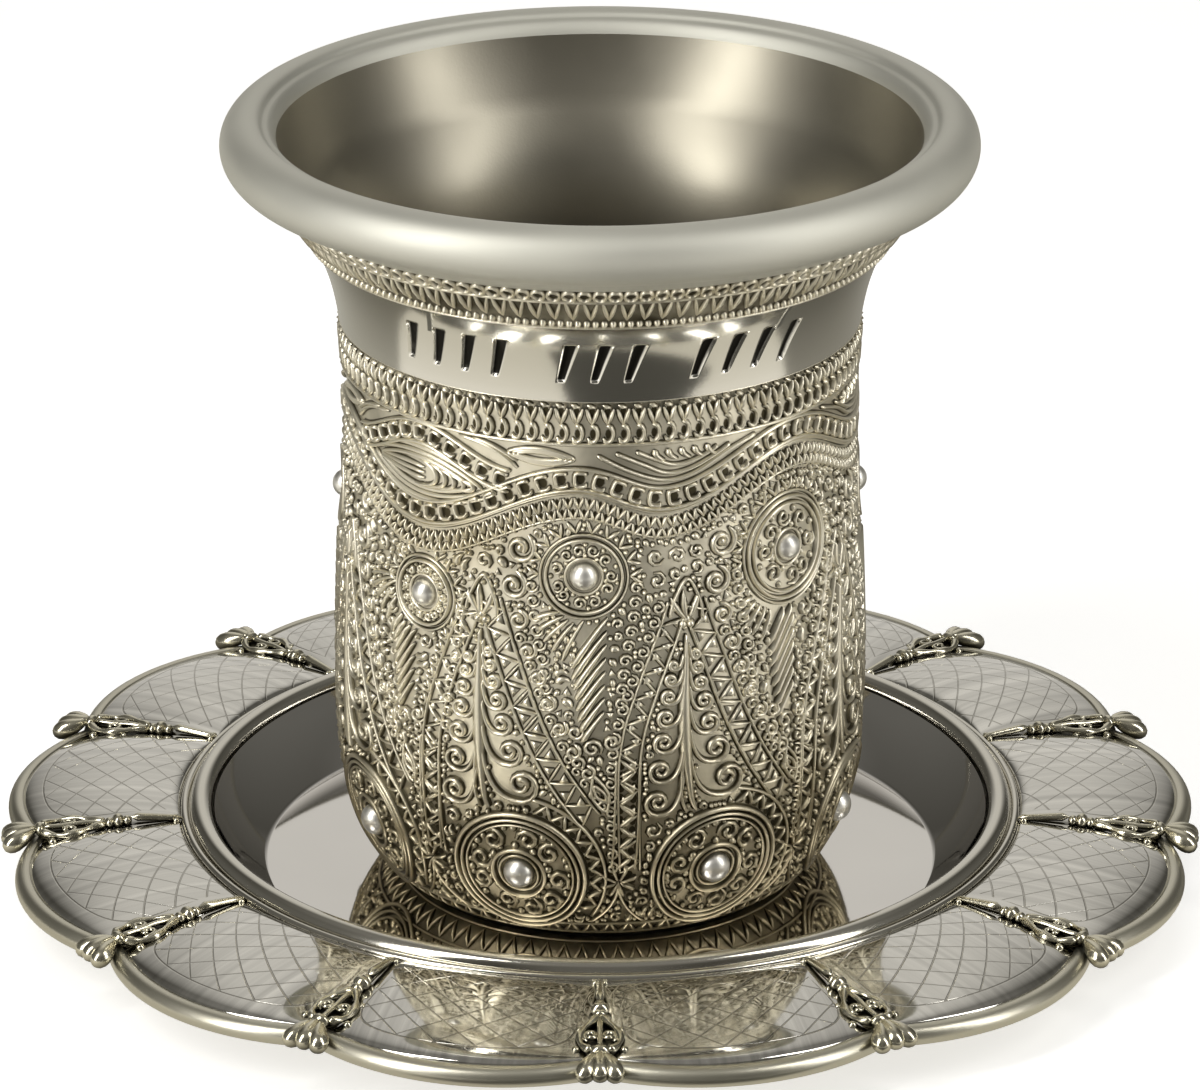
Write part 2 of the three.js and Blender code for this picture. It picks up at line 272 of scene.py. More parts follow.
def engraved(name, colour, line, rough):
    """The petals: satin metal with engraved lines crossing inside an engraved outline, and broad light and
    dark bands painted along each petal as sheen.
    """
    made = Metal(name)

    def line_at(distance):
        return made.eased(distance, HATCH_HALF * 0.5, HATCH_HALF * 1.3, 1.0, 0.0)

    lines = [line_at(made.maths("PINGPONG", made.attribute(name), HATCH_SPACING / 2))
             for name in ("hatch_left", "hatch_right")]
    inset = made.attribute("inset")
    inside = made.ranged(inset, OUTLINE_INSET - 0.05, OUTLINE_INSET + 0.05)
    cross = made.maths("MULTIPLY", made.maths("MAXIMUM", *lines), inside)
    border = line_at(made.maths("ABSOLUTE", made.maths("SUBTRACT", inset, OUTLINE_INSET)))
    fade = made.attribute("outline")
    cut = made.maths("MAXIMUM", made.maths("MULTIPLY", cross, 0.8), made.maths("MULTIPLY", border, fade))
    # Painted sheen: bands along each petal, from the streak value, tint the colour as well as the
    # roughness.
    streak = made.attribute("streak", "Vector")
    cloud = made.add("TexNoise", Vector=streak, Scale=1.0, Detail=3.0).outputs["Fac"]
    plain = made.mixed(made.ranged(cloud, 0.3, 0.68), [0.68 * part for part in colour], colour)
    return made.finish(made.mixed(made.maths("MULTIPLY", cut, LINE_SHADE), plain, line),
                       made.ranged(cloud, 0.3, 0.7, rough - 0.03, rough + 0.03),
                       made.maths("SUBTRACT", 1.0, cut), 0.025)


# The filigree's foot colour stands for tarnish and painted shade low on the cup.
FILIGREE = patinated_and_shaded("filigree_silver", (0.9, 0.85, 0.705), (0.085, 0.073, 0.044), 0.38, 0.5,
                     foot_tarnish_and_shade=(0.56, 0.485, 0.32))
STUD = satin("stud_silver", (0.98, 0.965, 0.91), 0.4, 0.02, 0.002)
BAND = patinated_and_shaded("band_silver", (0.86, 0.84, 0.77), (0.02, 0.019, 0.016), 0.14, 0.5, 0.002)
LIP = satin("lip_silver", (0.73, 0.725, 0.66), 0.6)
# Painted shade: the inside keeps the metal's warm tone but is given about half the lip's brightness, for
# the shade inside the cup.
INSIDE = satin("inside_silver", (0.36, 0.337, 0.277), 0.37)
UNDER = satin("underside_silver", (0.66, 0.64, 0.57), 0.45)
WELL = satin("well_silver", (0.82, 0.80, 0.77), 0.05, 0.01, 0.0008)
RING = satin("ring_silver", (0.74, 0.715, 0.64), 0.13, 0.03, 0.001)
RIM = satin("rim_silver", (0.66, 0.635, 0.53), 0.34, 0.03, 0.003)
PETAL = engraved("petal_silver", (0.85, 0.835, 0.785), (0.22, 0.205, 0.165), 0.07)
# The ribs' colour carries painted top light and shade from the rise their forms give, besides patina in
# their hollows.
RIB = patinated_and_shaded("rib_silver", (0.72, 0.685, 0.55), (0.045, 0.04, 0.025), 0.2, 0.45)

# ---- the cup's wall ----
WALL = 1.7  # thickness
CUP_FLOOR = 3.0  # inside floor above the foot
FOOT_RECESS = 0.8
FOOT_INNER = 17.5
FOOT_BEVEL = 0.6
# outside of the body: radius and height above the foot
BODY = [
    (20.4, 0), (22.6, 2), (24.9, 6), (26.3, 12), (26.7, 20), (26.4, 32), (25.7, 46),
    (25.75, 54), (26.3, 60.5), (27.8, 65.8), (30.5, 70.1), (33.6, 73.9),
]
INSIDE_WALL = (72, 8)  # heights between which the inside follows the outside
LIP_RADIUS = 34.7  # centre of the rolled lip's section
LIP_HEIGHT = 76.9
LIP_ROLL = 2.85
LIP_TURN = (-100, 163)  # degrees that the roll runs through, from below the outside to the inside
LIP_GROOVE = (122, 0.22)  # degrees and depth of the soft groove near the inside
MEAN_RADIUS = 25.8  # a millimetre round the cup is taken at this radius
LOWER_BAND = (54.4, 58.9)
UPPER_BAND = (67.4, 72.5)
GROUND = -0.3  # depth of the filigree's ground below the wall
GROUND_RISE = 0.67  # how bright the open ground is kept, between the darkened crevices and the tops

body_line = curve_through(BODY, 481)


def wall(height):
    return np.interp(height, body_line[:, 1], body_line[:, 0])


def lean(height):
    """The wall's slope, and the length of its square direction along the radius."""
    slope = (wall(height + 0.4) - wall(height - 0.4)) / 0.8
    return slope, 1 / np.hypot(1, slope)


def on_cup(angle, height, out=0.0):
    """Places on the cup's wall, moved outwards square to it."""
    slope, square = lean(height)
    return polar(wall(height) + out * square, angle, height - out * slope * square + FOOT)


def cup_normal(angle, height):
    slope, square = lean(height)
    return polar(square, angle, -slope * square)


def ground_line(low, high, steps):
    return [(wall(z) + GROUND, z) for z in np.linspace(low, high, steps)]


def lip_profile():
    """The rolled lip from its outer underside over the top."""
    at = np.linspace(*LIP_TURN, 56)
    roll = LIP_ROLL - LIP_GROOVE[1] * np.exp(-((at - LIP_GROOVE[0]) / 8) ** 2)
    return circled((LIP_RADIUS, LIP_HEIGHT), roll, np.radians(at))


def cup_body():
    """Foot, relief ground, neck, lip and inside, each with its own metal."""
    body = Shape()
    ground, satin_lip, inside, under = range(4)
    lip, foot_edge = lip_profile(), (wall(0) - FOOT_BEVEL, 0)
    lathe(body, [(0, FOOT_RECESS), (FOOT_INNER, FOOT_RECESS), (FOOT_INNER + 0.1, 0.1),
                 (FOOT_INNER + 0.4, 0), foot_edge], FOOT, slot=under)
    top = LOWER_BAND[1] + 0.1
    lathe(body, [foot_edge] + ground_line(0, LOWER_BAND[1], 44) + [(wall(top) - 0.05, top)], FOOT,
          slot=ground, rise=GROUND_RISE)
    high = [(wall(UPPER_BAND[0]), UPPER_BAND[0])] + ground_line(UPPER_BAND[0] + 0.1, UPPER_BAND[1], 14)
    lathe(body, high, FOOT, slot=ground, rise=0.3)
    neck = [(wall(z), z) for z in np.linspace(UPPER_BAND[1], BODY[-1][1], 5)]
    lathe(body, np.vstack([high[-1:], neck, lip[:1]]), FOOT, slot=satin_lip)
    lathe(body, lip, FOOT, slot=satin_lip)
    inner = [(wall(z) - WALL, z) for z in np.linspace(*INSIDE_WALL, 40)]
    corner = bezier(inner[-1], (wall(5) - WALL, CUP_FLOOR), (15, CUP_FLOOR), 12)
    lathe(body, np.vstack([lip[-1:], inner, corner[1:], [(0, CUP_FLOOR)]]), FOOT, slot=inside)
    body.piece("cup_body", "cup", "cup_silver", [FILIGREE, LIP, INSIDE, UNDER])


# ---- the plain band with its strokes ----
STROKES = (4, 3, 4)  # strokes of the three groups in the inscription's place
STROKE_HEIGHT = 63.2  # middle of the strokes
STROKE_TALL = 4.0
STROKE_PITCH = 3.3
STROKE_GAP = 3.4
STROKE_TILT = 0.28
STROKE_DEPTH = 0.35
STROKE_HALF = (0.36, 0.6)  # half width at the bottom and at the top
SUNK_SHARE = 0.8  # share of its half width over which a stroke is at its full depth
STROKE_COLUMNS = (-1.5, -1.12, -SUNK_SHARE, 0, SUNK_SHARE, 1.12, 1.5)  # in half widths
PLAIN_COLUMNS = 300  # round the band, less those that fall near a stroke
SLANTED_HALF = 26  # the columns slant within this distance of the front, and less for 4 mm before it


def stroke_places():
    """Distances round the band of the strokes' middles."""
    count = sum(STROKES)
    length = (count - len(STROKES)) * STROKE_PITCH + (len(STROKES) - 1) * (STROKE_PITCH + STROKE_GAP)
    along, places = -length / 2, []
    for group in STROKES:
        for _ in range(group):
            places.append(along)
            along += STROKE_PITCH
        along += STROKE_GAP
    return np.array(places)


def band_columns(radius):
    """For each column its distance round the band, its place in a stroke's width and if it's sunk."""
    places = stroke_places()
    columns = [(place, share, float(abs(share) <= SUNK_SHARE))
               for place in places for share in STROKE_COLUMNS]
    columns += [(place, 0.0, 0.0) for place in
                np.linspace(-pi * radius, pi * radius, PLAIN_COLUMNS, endpoint=False)
                if np.abs(places - place).min() > 0.85]
    base, side, sunk = np.array(columns).T
    order = np.argsort(base + side * 0.4)
    return base[order], side[order], sunk[order]


def cup_band():
    """Polished band as one grid, whose columns follow the strokes' slanted sides."""
    radius = wall(STROKE_HEIGHT)
    base, side, sunk = band_columns(radius)
    low, high = STROKE_HEIGHT - STROKE_TALL / 2, STROKE_HEIGHT + STROKE_TALL / 2
    heights = np.concatenate([
        np.linspace(LOWER_BAND[1] + 0.1, low - 0.25, 6), [low - 0.08, low + 0.12],
        np.linspace(low + 0.5, high - 0.5, 6), [high - 0.12, high + 0.08],
        np.linspace(high + 0.25, UPPER_BAND[0], 6)])
    within = ((heights > low) & (heights < high)).astype(float)
    width = np.interp(heights, (low, high), STROKE_HALF)
    window = np.clip((SLANTED_HALF - np.abs(base)) / 4, 0, 1)
    slant = STROKE_TILT * (heights[:, None] - STROKE_HEIGHT) * window
    place = base + side * width[:, None] + slant
    depth = -STROKE_DEPTH * within[:, None] * sunk
    points = on_cup(place / radius, heights[:, None] + 0 * place, depth)
    band = Shape()
    band.grid(points.transpose(1, 0, 2), loop_rows=True, rise=(1 + depth / STROKE_DEPTH).T)
    band.piece("cup_band", "cup", "cup_silver", [BAND])


# ---- layout of the filigree ----
CROWN = -3.9  # degrees to the first pendant, midway between two stems
REPEATS = 8
LEAN = 8.0  # degrees that the lower medallions stand past the stems
WAVE_MIDDLE = -43.0  # degrees to a deep trough; the wave mirrors about it
WAVE = [(0, 45.1), (38.5, 50.8), (57, 48.6), (90, 53.1)]  # degrees from the trough, height
WAVE_HALF = 1.1
WAVE_PITCH = 1.93  # from one loop of the beaded wave to the next
BAND_PITCH = 1.5  # from one vee of the two bands to the next
NET_PITCH = 1.06
NET_DEPTH = 4.0  # from the wave's middle to the lower edge of the net under it
ARCH = [(0, 53.2), (24.5, 50.0)]  # beaded arch over the deep trough
UPPER_PLACES = [(-88.5, 40.8, 4.1), (-41.5, 36.6, 3.6), (-3.5, 40.8, 4.1), (45.5, 40.9, 5.5)]
LOWER_HEIGHT = 8.4
LOWER_RADIUS = 6.8
BASE_ROW = 1.6  # height of the row of short ribs at the foot

upper_medallions = [(radians(a + half), z, r) for half in (0, 180) for a, z, r in UPPER_PLACES]
lower_angles = [radians(CROWN + 22.5 + LEAN + 45 * k) for k in range(REPEATS)]
discs = upper_medallions + [(a, LOWER_HEIGHT, LOWER_RADIUS) for a in lower_angles]
marks = []  # places already taken by wires, for the filling afterwards
keep_clear = []  # discs of open ground: angle, height, radius


def past_trough(angle):
    """Degrees from the nearest deep trough of the wave, 0 to 90."""
    turn = np.degrees(angle) - WAVE_MIDDLE
    return np.abs(turn - 180 * np.round(turn / 180))


def eased(at, table):
    """Runs from extreme to extreme of a table, level at each."""
    at = np.asarray(at, dtype=float)
    keys = np.array(table, dtype=float)
    step = np.clip(np.searchsorted(keys[:, 0], at, side="right") - 1, 0, len(keys) - 2)
    share = np.clip((at - keys[step, 0]) / (keys[step + 1, 0] - keys[step, 0]), 0, 1)
    return keys[step, 1] + (keys[step + 1, 1] - keys[step, 1]) * (1 - np.cos(pi * share)) / 2


def wave_height(angle):
    return eased(past_trough(angle), WAVE)


def gap(angle, other):
    """Signed distance round the cup between two angles, in millimetres."""
    return ((angle - other + pi) % TURN - pi) * MEAN_RADIUS


def free(angle, height):
    """Where the panels' wires may run: below the net and outside the medallions."""
    open_space = (height < wave_height(angle) - NET_DEPTH) & (height > BASE_ROW + 0.5)
    for centre, middle, radius in discs:
        open_space &= gap(angle, centre) ** 2 + (height - middle) ** 2 > (radius + 0.25) ** 2
    return open_space


# ---- wires, beads and holes ----
WIRE = 0.4  # width of a wire
WIRE_TOP = 0.2  # how far its top stands above the wall
WIRE_SKIRT = 0.13  # dark seam on the ground along both sides of a wire
WIRE_SIDES = np.array([-1.0, -1.0, -0.74, 0.0, 0.74, 1.0, 1.0])
WIRE_OUT = np.array([0.0, 0.0, 0.68, 1.0, 0.68, 0.0, 0.0])
WIRE_RISE = np.array([GROUND_RISE, 0.0, 0.66, 1.0, 0.66, 0.0, GROUND_RISE])
WIRE_EDGE = np.array([-1.0, 0.0, 0.0, 0.0, 0.0, 0.0, 1.0])
WIRE_END = 0.45  # share of its width and height that a wire keeps at its ends
SHORTEST = 3  # points that a wire has at least when it is cut


class Filigree(Shape):
    """Wires, beads and holes on the cup's wall, at (mm round the cup, height) from a centre angle."""

    def __init__(self, clipped=False):
        super().__init__()
        self.centre, self.clipped = 0.0, clipped

    def about(self, centre):
        self.centre = centre
        return self

    def place(self, spot):
        return self.centre + spot[0] / MEAN_RADIUS, spot[1]

    def free(self, spot):
        return free(*self.place(spot))

    def clear(self, spot, radius):
        """Keeps the filling out of a disc."""
        keep_clear.append((*self.place(spot), radius))

    def clear_along(self, line, half):
        """Keeps the filling out of a strip on both sides of a line."""
        for spot in follow(line, half)[0]:
            self.clear(spot, half)

    def lay(self, path, width=WIRE, top=WIRE_TOP, loop=False):
        """Lays a wire along a path, cut where it may not run if the piece is clipped."""
        angle, height = self.centre + path[:, 0] / MEAN_RADIUS, path[:, 1]
        marks.append(np.stack([angle, height], axis=1))
        keep = free(angle, height) if self.clipped else np.ones(len(path), dtype=bool)
        if keep.all():
            self.wire(angle, height, width, top, loop)
            return
        width = np.broadcast_to(width, len(path))
        edges = np.flatnonzero(np.diff(np.concatenate([[0], keep.astype(int), [0]])))
        for start, end in zip(edges[::2], edges[1::2]):
            if end - start >= SHORTEST:
                kept = slice(start, end)
                self.wire(angle[kept], height[kept], width[kept], top)

    def wire(self, angle, height, width, top, loop=False):
        """A half-round wire with a dark seam on both sides."""
        place = on_cup(angle, height)
        normal = cup_normal(angle, height)
        if loop:
            tangent = np.roll(place, -1, axis=0) - np.roll(place, 1, axis=0)
        else:
            tangent = np.gradient(place, axis=0)
        across = np.cross(normal, tangent)
        across /= np.maximum(np.linalg.norm(across, axis=1, keepdims=True), 1e-9)
        half = np.broadcast_to(np.asarray(width, dtype=float) / 2, len(place)).copy()
        rise = np.full(len(place), 1.0)
        if not loop:
            half[[0, -1]] *= WIRE_END
            rise[[0, -1]] = WIRE_END
        low = GROUND + 0.015
        out = low + (top - low) * WIRE_OUT[None, :] * rise[:, None]
        sides = half[:, None] * WIRE_SIDES + WIRE_SKIRT * WIRE_EDGE
        points = place[:, None] + across[:, None] * sides[..., None]
        points = points + normal[:, None] * out[..., None]
        self.grid(points, loop_rows=loop, rise=np.broadcast_to(WIRE_RISE, out.shape))

    def bead(self, spot, radius, out, base=GROUND + 0.01, rings=3, steps=9, plain=False, turned=0.0):
        """A dome from its base to the height out, with a dark seam or, if plain, with the stud's metal."""
        angle, height = self.place(spot)
        turn = np.linspace(0, pi / 2, rings + 1)
        flat, up, rise = radius * np.sin(turn), np.cos(turn), np.cos(turn) ** 0.5
        if plain:
            rise = np.ones(rings + 1)
        else:
            flat, up, rise = (np.append(row, end) for row, end in
                              ((flat, radius + WIRE_SKIRT), (up, 0.0), (rise, GROUND_RISE)))
        flat = flat[:, None]
        around = turned + np.arange(steps)[None, :] * TURN / steps
        place = on_cup(angle + flat * np.cos(around) / wall(height), height + flat * np.sin(around),
                       base + (out - base) * up[:, None] + 0 * around)
        self.grid(place, int(plain), loop_columns=True, rise=rise[:, None])

    def triangle(self, spot, size, way, out=0.2):
        """A low bright lump with three sides, one corner along the way."""
        self.bead(spot, size, out, rings=2, steps=3, turned=atan2(way[1], way[0]))

    def hole(self, spot, wide, tall, way=(1.0, 0.0), steps=8):
        """A dark pit in the ground, drawn as a flat oval whose long sides run across the way."""
        angle, height = self.place(spot)
        around = np.arange(steps)[None, :] * TURN / steps
        share = np.array([0.0, 0.62, 1.0])[:, None]
        along, across = share * wide * np.cos(around), share * tall * np.sin(around)
        x, y = along * way[0] - across * way[1], along * way[1] + across * way[0]
        place = on_cup(angle + x / wall(height), height + y, GROUND + 0.02)
        self.grid(place, loop_columns=True, rise=np.array([[0.0], [0.0], [GROUND_RISE]]))

    def repeat(self, line, pitch, motifs, width=WIRE, top=WIRE_TOP):
        """Repeats small paths along a line; x runs along it and y to its left."""
        for place, way in zip(*follow(line, pitch)):
            turned = np.array([way, [-way[1], way[0]]])
            for motif in motifs:
                self.lay(place + motif @ turned, width, top, is_ring(motif))

    def pits(self, line, pitch, at, wide, tall):
        """Dark pits along a line, each at the same place in its repeat."""
        for place, way in zip(*follow(line, pitch)):
            spot = place + np.array([at[0] * way[0] - at[1] * way[1], at[0] * way[1] + at[1] * way[0]])
            self.hole(spot, wide, tall, way)


# ---- paths in (mm round the cup, height) ----
def spiral(centre, radius, start, turns, steps=None):
    """A curl that starts on its outside at the given degrees; negative turns run clockwise."""
    steps = steps or max(7, int(abs(turns) * 10))
    t = np.linspace(0, 1, steps)
    return circled(centre, radius * (1 - 0.78 * t), radians(start) + TURN * turns * t)


def ring(centre, radius, steps, squash=1.0):
    return arc(radius, 0, 360 * (1 - 1 / steps), steps, centre, squash)


def is_ring(path):
    """Whether a path of more than six points comes back to its start, and isn't closed already."""
    gap_between = np.linalg.norm(path[0] - path[-1])
    return len(path) > 6 and 1e-6 < gap_between < 1.6 * np.linalg.norm(path[1] - path[0])


def follow(line, pitch):
    """Places at about the given pitch along a line, with the direction of the line at each."""
    steps = np.linalg.norm(np.diff(line, axis=0), axis=1)
    length = np.concatenate([[0], np.cumsum(steps)])
    count = max(1, int(round(length[-1] / pitch)))
    at = (np.arange(count) + 0.5) * length[-1] / count
    place, ahead, behind = (np.stack([np.interp(at + shift, length, line[:, k]) for k in (0, 1)], axis=1)
                            for shift in (0, 0.05, -0.05))
    way = ahead - behind
    return place, way / np.linalg.norm(way, axis=1, keepdims=True)


def offset(line, distance):
    way = np.gradient(line, axis=0)
    way /= np.linalg.norm(way, axis=1, keepdims=True)
    return line + distance * np.stack([-way[:, 1], way[:, 0]], axis=1)


def stroke(start, end, steps=4):
    return np.linspace(start, end, steps)


def vee(width, low, high):
    """Two strokes that meet at the bottom."""
    return [stroke((-width / 2, high), (0, low)), stroke((0, low), (width / 2, high))]


def peak(half, tall, steps=4):
    """Two strokes that meet at the top, for a zigzag."""
    return [stroke((-half, -tall), (0, tall), steps), stroke((0, tall), (half, -tall), steps)]


def swelling(count, *keys):
    """Widths of a wire's points, run through (point, width) keys."""
    return np.interp(np.arange(count), *zip(*keys))


def around_cup(height_at, steps=360):
    """A closed line round the cup."""
    angle = np.linspace(-pi, pi, steps)
    return np.stack([angle * MEAN_RADIUS, height_at(angle) + 0 * angle], axis=1)


def level(height):
    return around_cup(lambda angle: height)


# ---- bands, wave and net ----
def rail(work, height, width, top=WIRE_TOP):
    """A level wire all round the cup."""
    work.lay(level(height)[:-1], width, top, loop=True)


def lower_band(work):
    """From the top: a row of dashes, a row of vees, a row of open loops and a smooth wire."""
    bottom, top = LOWER_BAND
    rail(work, bottom + 0.02, 0.42)
    rail(work, top + 0.05, 0.2, 0.05)
    low, high = level(bottom + 1.2), level(bottom + 2.1)
    work.pits(high, BAND_PITCH, (0, 1.2), 0.42, 0.7)
    work.pits(low, BAND_PITCH, (0.05, -0.1), 0.34, 0.62)
    work.repeat(level(top - 0.42), BAND_PITCH, [stroke((-0.5, 0.14), (0.28, -0.14), 3)], 0.5, 0.3)
    work.repeat(high, BAND_PITCH, vee(1.2, 0.05, 1.7), 0.5, 0.3)
    work.repeat(low, BAND_PITCH, [arc(0.54, 110, -150, 10, (0.0, 0), 1.6)], 0.46, 0.3)


def upper_band(work):
    """From the top, under the lip: a row of loops, a wire, a row of tall vees and a line of beads."""
    bottom = UPPER_BAND[0]
    rail(work, bottom + 0.05, 0.3, 0.15)
    for spot in follow(level(bottom + 0.5), BAND_PITCH / 2)[0]:
        work.bead(spot, 0.36, 0.3)
    vees = level(bottom + 1.0)
    work.pits(vees, BAND_PITCH, (0, 1.6), 0.42, 0.85)
    work.repeat(vees, BAND_PITCH, vee(1.15, 0.05, 2.35), 0.48, 0.3)
    rail(work, bottom + 3.6, 0.34, 0.26)
    loops = level(bottom + 4.35)
    work.pits(loops, BAND_PITCH * 0.8, (0, 0), 0.3, 0.4)
    work.repeat(loops, BAND_PITCH * 0.8, [ring((0, 0), 0.5, 10, 1.25)], top=0.28)


def foot_row(work):
    rail(work, BASE_ROW + 0.6, 0.34)
    middle = level(BASE_ROW - 0.4)
    for shift, side in ((0, -0.25), (1.1, 0.25)):
        work.pits(middle, 2.2, (shift, side), 0.5, 0.45)
    work.repeat(middle, 2.2, peak(1.1, 0.8), 0.42, 0.25)
    rail(work, 0.2, 0.36, 0.1)


def beaded(work, line):
    """A row of upright loops round dark holes, inside two smooth wires."""
    for side in (-WAVE_HALF, WAVE_HALF):
        work.lay(offset(line, side), 0.42, 0.32)
    tall = WAVE_HALF - 0.38
    turn = np.radians(np.arange(0, 360, 30) + 15)
    loop = np.stack([size * np.sign(way) * np.abs(way) ** 0.5
                     for size, way in ((0.6, np.cos(turn)), (tall, np.sin(turn)))], axis=1)
    work.pits(line, WAVE_PITCH, (0, 0), 0.58, 0.72)
    work.repeat(line, WAVE_PITCH, [loop], 0.44, 0.36)


def wave(work):
    beaded(work, around_cup(wave_height, 480))
    for half in (0, 180):
        middle = radians(WAVE_MIDDLE + half) * MEAN_RADIUS
        reach = radians(ARCH[1][0] - 1.5) * MEAN_RADIUS
        across = np.linspace(-reach, reach, 90)
        past = np.degrees(np.abs(across) / MEAN_RADIUS)
        beaded(work, np.stack([middle + across, eased(past, ARCH)], axis=1))


def net(work):
    """A smooth wire under the wave, then two rows of pointed holes in a net of vees."""
    def below(depth):
        return around_cup(lambda angle: wave_height(angle) - WAVE_HALF - depth, 480)
    work.lay(below(0.32), 0.3)
    for depth, shift in ((1.3, 0.0), (2.45, NET_PITCH / 2)):
        row = below(depth)
        work.pits(row, NET_PITCH, (shift, 0.05), 0.27, 0.5)
        work.repeat(row, NET_PITCH, [path + (shift, 0) for path in vee(0.92, -0.7, 0.45)], 0.36, 0.24)
    work.lay(below(NET_DEPTH - WAVE_HALF), 0.28, 0.16)


# ---- almonds between the wave and the band ----
HATCHES = 5  # curved strokes of an almond
BOATS = [[(-6.6, 53.3), (-3.4, 51.6), (0, 50.5), (3, 50.9), (6.4, 52.6), (10, 53.8)],
         [(-4.8, 53.5), (-2, 52.2), (0.4, 51.2), (3.2, 51.6), (7, 53.4)],
         [(-2.8, 53.6), (-0.6, 52.6), (1.2, 52.0), (3.4, 52.4), (5.6, 53.4)]]


def almond(work, height, half, tall, tilt):
    """A pointed eye of nested smooth wires."""
    along = np.linspace(-1, 1, 41)
    body = np.cos(along * pi / 2) ** 0.8
    for nest in (1.0, 0.78, 0.58):
        for side in (-1, 1):
            path = np.stack([along * half * (0.3 + 0.7 * nest), side * tall * nest * body], axis=1)
            path[:, 1] += height - tilt * path[:, 0]
            work.lay(path, 0.22 + 0.3 * np.sqrt(body), 0.16)


def hatches(work, height, half, tall, tilt):
    """Curved strokes nested towards the right end of an almond, and long ones that fill the left."""
    for k in range(HATCHES):
        tip = half * (0.1 + 0.62 * (k + 1) / HATCHES)
        reach = tall * 0.5 * (1 - 0.8 * (k / HATCHES) ** 1.4)
        bow = np.concatenate([bezier((tip - (1.7 + reach), -reach), (tip, -reach), (tip, 0), 7),
                              bezier((tip, 0), (tip, reach), (tip - (1.3 + reach), reach), 7)[1:]])
        bow[:, 1] += height - tilt * bow[:, 0]
        work.lay(bow, swelling(13, (0, .2), (4, .5), (8, .5), (12, .2)), 0.24)
    for k in (-1, 0, 1):
        grain = bezier((-half * 0.72, 0.1 * k), (-half * 0.3, 0.75 * k), (0.04 * half, 0.55 * k), 12)
        grain[:, 1] += height - tilt * grain[:, 0]
        work.lay(grain, swelling(12, (0, .2), (6, .55), (11, .25)), 0.14)


def lens(work, side):
    """Nested boat-shaped wires between a shallow trough and the band above, with comma strokes."""
    for boat in BOATS:
        work.lay(curve_through(boat, 40) * np.array([side, 1]), 0.42)
    for k in range(5):
        head = -1.0 + 1.35 * k
        comma = bezier((head, 53.7), (head + 0.1, 52.9), (head + 1.15, 52.6), 7) * np.array([side, 1])
        work.lay(comma, np.array([.55, .7, .66, .55, .45, .35, .2]), 0.3)


def almonds(work):
    for half_turn in (0, 180):
        deep = radians(WAVE_MIDDLE + half_turn)
        eye = (49.0, 8.9, 2.6, 0.05)
        almond(work.about(deep), *eye)
        hatches(work, *eye)
        for side in (-1, 1):
            lens(work.about(deep + side * radians(57.0)), side)
            almond(work.about(deep + side * radians(30.0)), 53.0, 3.4, 0.75, 0.05 * side)
            work.about(deep + side * radians(23.5))
            for reach, drop in ((5.8, 0.0), (4.2, 0.75)):
                swoop = bezier((-reach * side, 54.0), (-1.8 * side, 53.9), (0.6 * side, 51.5 + drop), 14)
                work.lay(swoop, 0.42, 0.22)


# ---- medallions ----
# radius, width and top of the wires of a lower medallion
LOWER_CIRCLES = [(LOWER_RADIUS, 0.6, 0.5), (6.15, 0.42, 0.42), (5.6, 0.3, 0.28), (2.75, 0.5, 0.36)]


def stud(work, height, radius, out):
    """A polished dome in a dark seat with a low collar."""
    work.hole((0, height), radius + 0.45, radius + 0.45, steps=28)
    work.bead((0, height), radius, out, base=GROUND, rings=9, steps=28, plain=True)
    work.lay(ring((0, height), radius + 0.45, 28), 0.34, 0.1, loop=True)


def circle(work, height, radius, width, top):
    work.lay(ring((0, height), radius, int(radius * 9) + 14), width, top, loop=True)


def curls_round(work, height, middle, reach, width, seed):
    """A ring of touching curls with beads between them."""
    count = int(TURN * middle / (2 * reach + 0.25))
    random = np.random.default_rng(seed)
    for k in range(count):
        turn = TURN * (k + 0.2 * random.uniform(-1, 1)) / count
        out = middle + 0.15 * reach * random.uniform(-1, 1)
        centre = (out * cos(turn), height + out * sin(turn))
        work.lay(spiral(centre, reach, random.uniform(0, 360), random.choice([-1.25, 1.25])),
                 width, random.uniform(0.14, 0.3))
        work.hole(centre, reach * 0.4, reach * 0.4)
        between = turn + TURN / count / 2
        for far in (middle - reach * 0.85, middle + reach * 0.85):
            work.bead((far * cos(between), height + far * sin(between)), 0.3 * reach + 0.05, 0.15)


def upper_medallion(work, height, radius):
    circle(work, height, radius + 0.2, 0.28, 0.15)
    circle(work, height, radius - 0.35, 0.36, 0.34)
    if radius > 5:
        circle(work, height, radius - 1.0, 0.34, 0.3)
        radius -= 0.7
    stud(work, height, 1.4, 1.0)
    inner, outer = 2.0, radius - 0.65
    rows = max(1, int((outer - inner) / 1.25))
    reach = (outer - inner) / rows / 2
    for row in range(rows):
        curls_round(work, height, inner + (2 * row + 1) * reach, reach * 0.9, 0.3, row)


def lower_medallion(work):
    height = LOWER_HEIGHT
    for circle_values in LOWER_CIRCLES:
        circle(work, height, *circle_values)
    stud(work, height, 1.6, 1.15)
    curls_round(work, height, 4.2, 1.22, 0.52, 3)
    random = np.random.default_rng(11)
    for middle, count in ((3.22, 13), (5.2, 19)):
        for k in range(count):
            turn = TURN * (k + random.uniform(0, 0.6)) / count
            work.bead((middle * cos(turn), height + middle * sin(turn)),
                      random.uniform(0.22, 0.4), random.uniform(0.05, 0.3), steps=7)


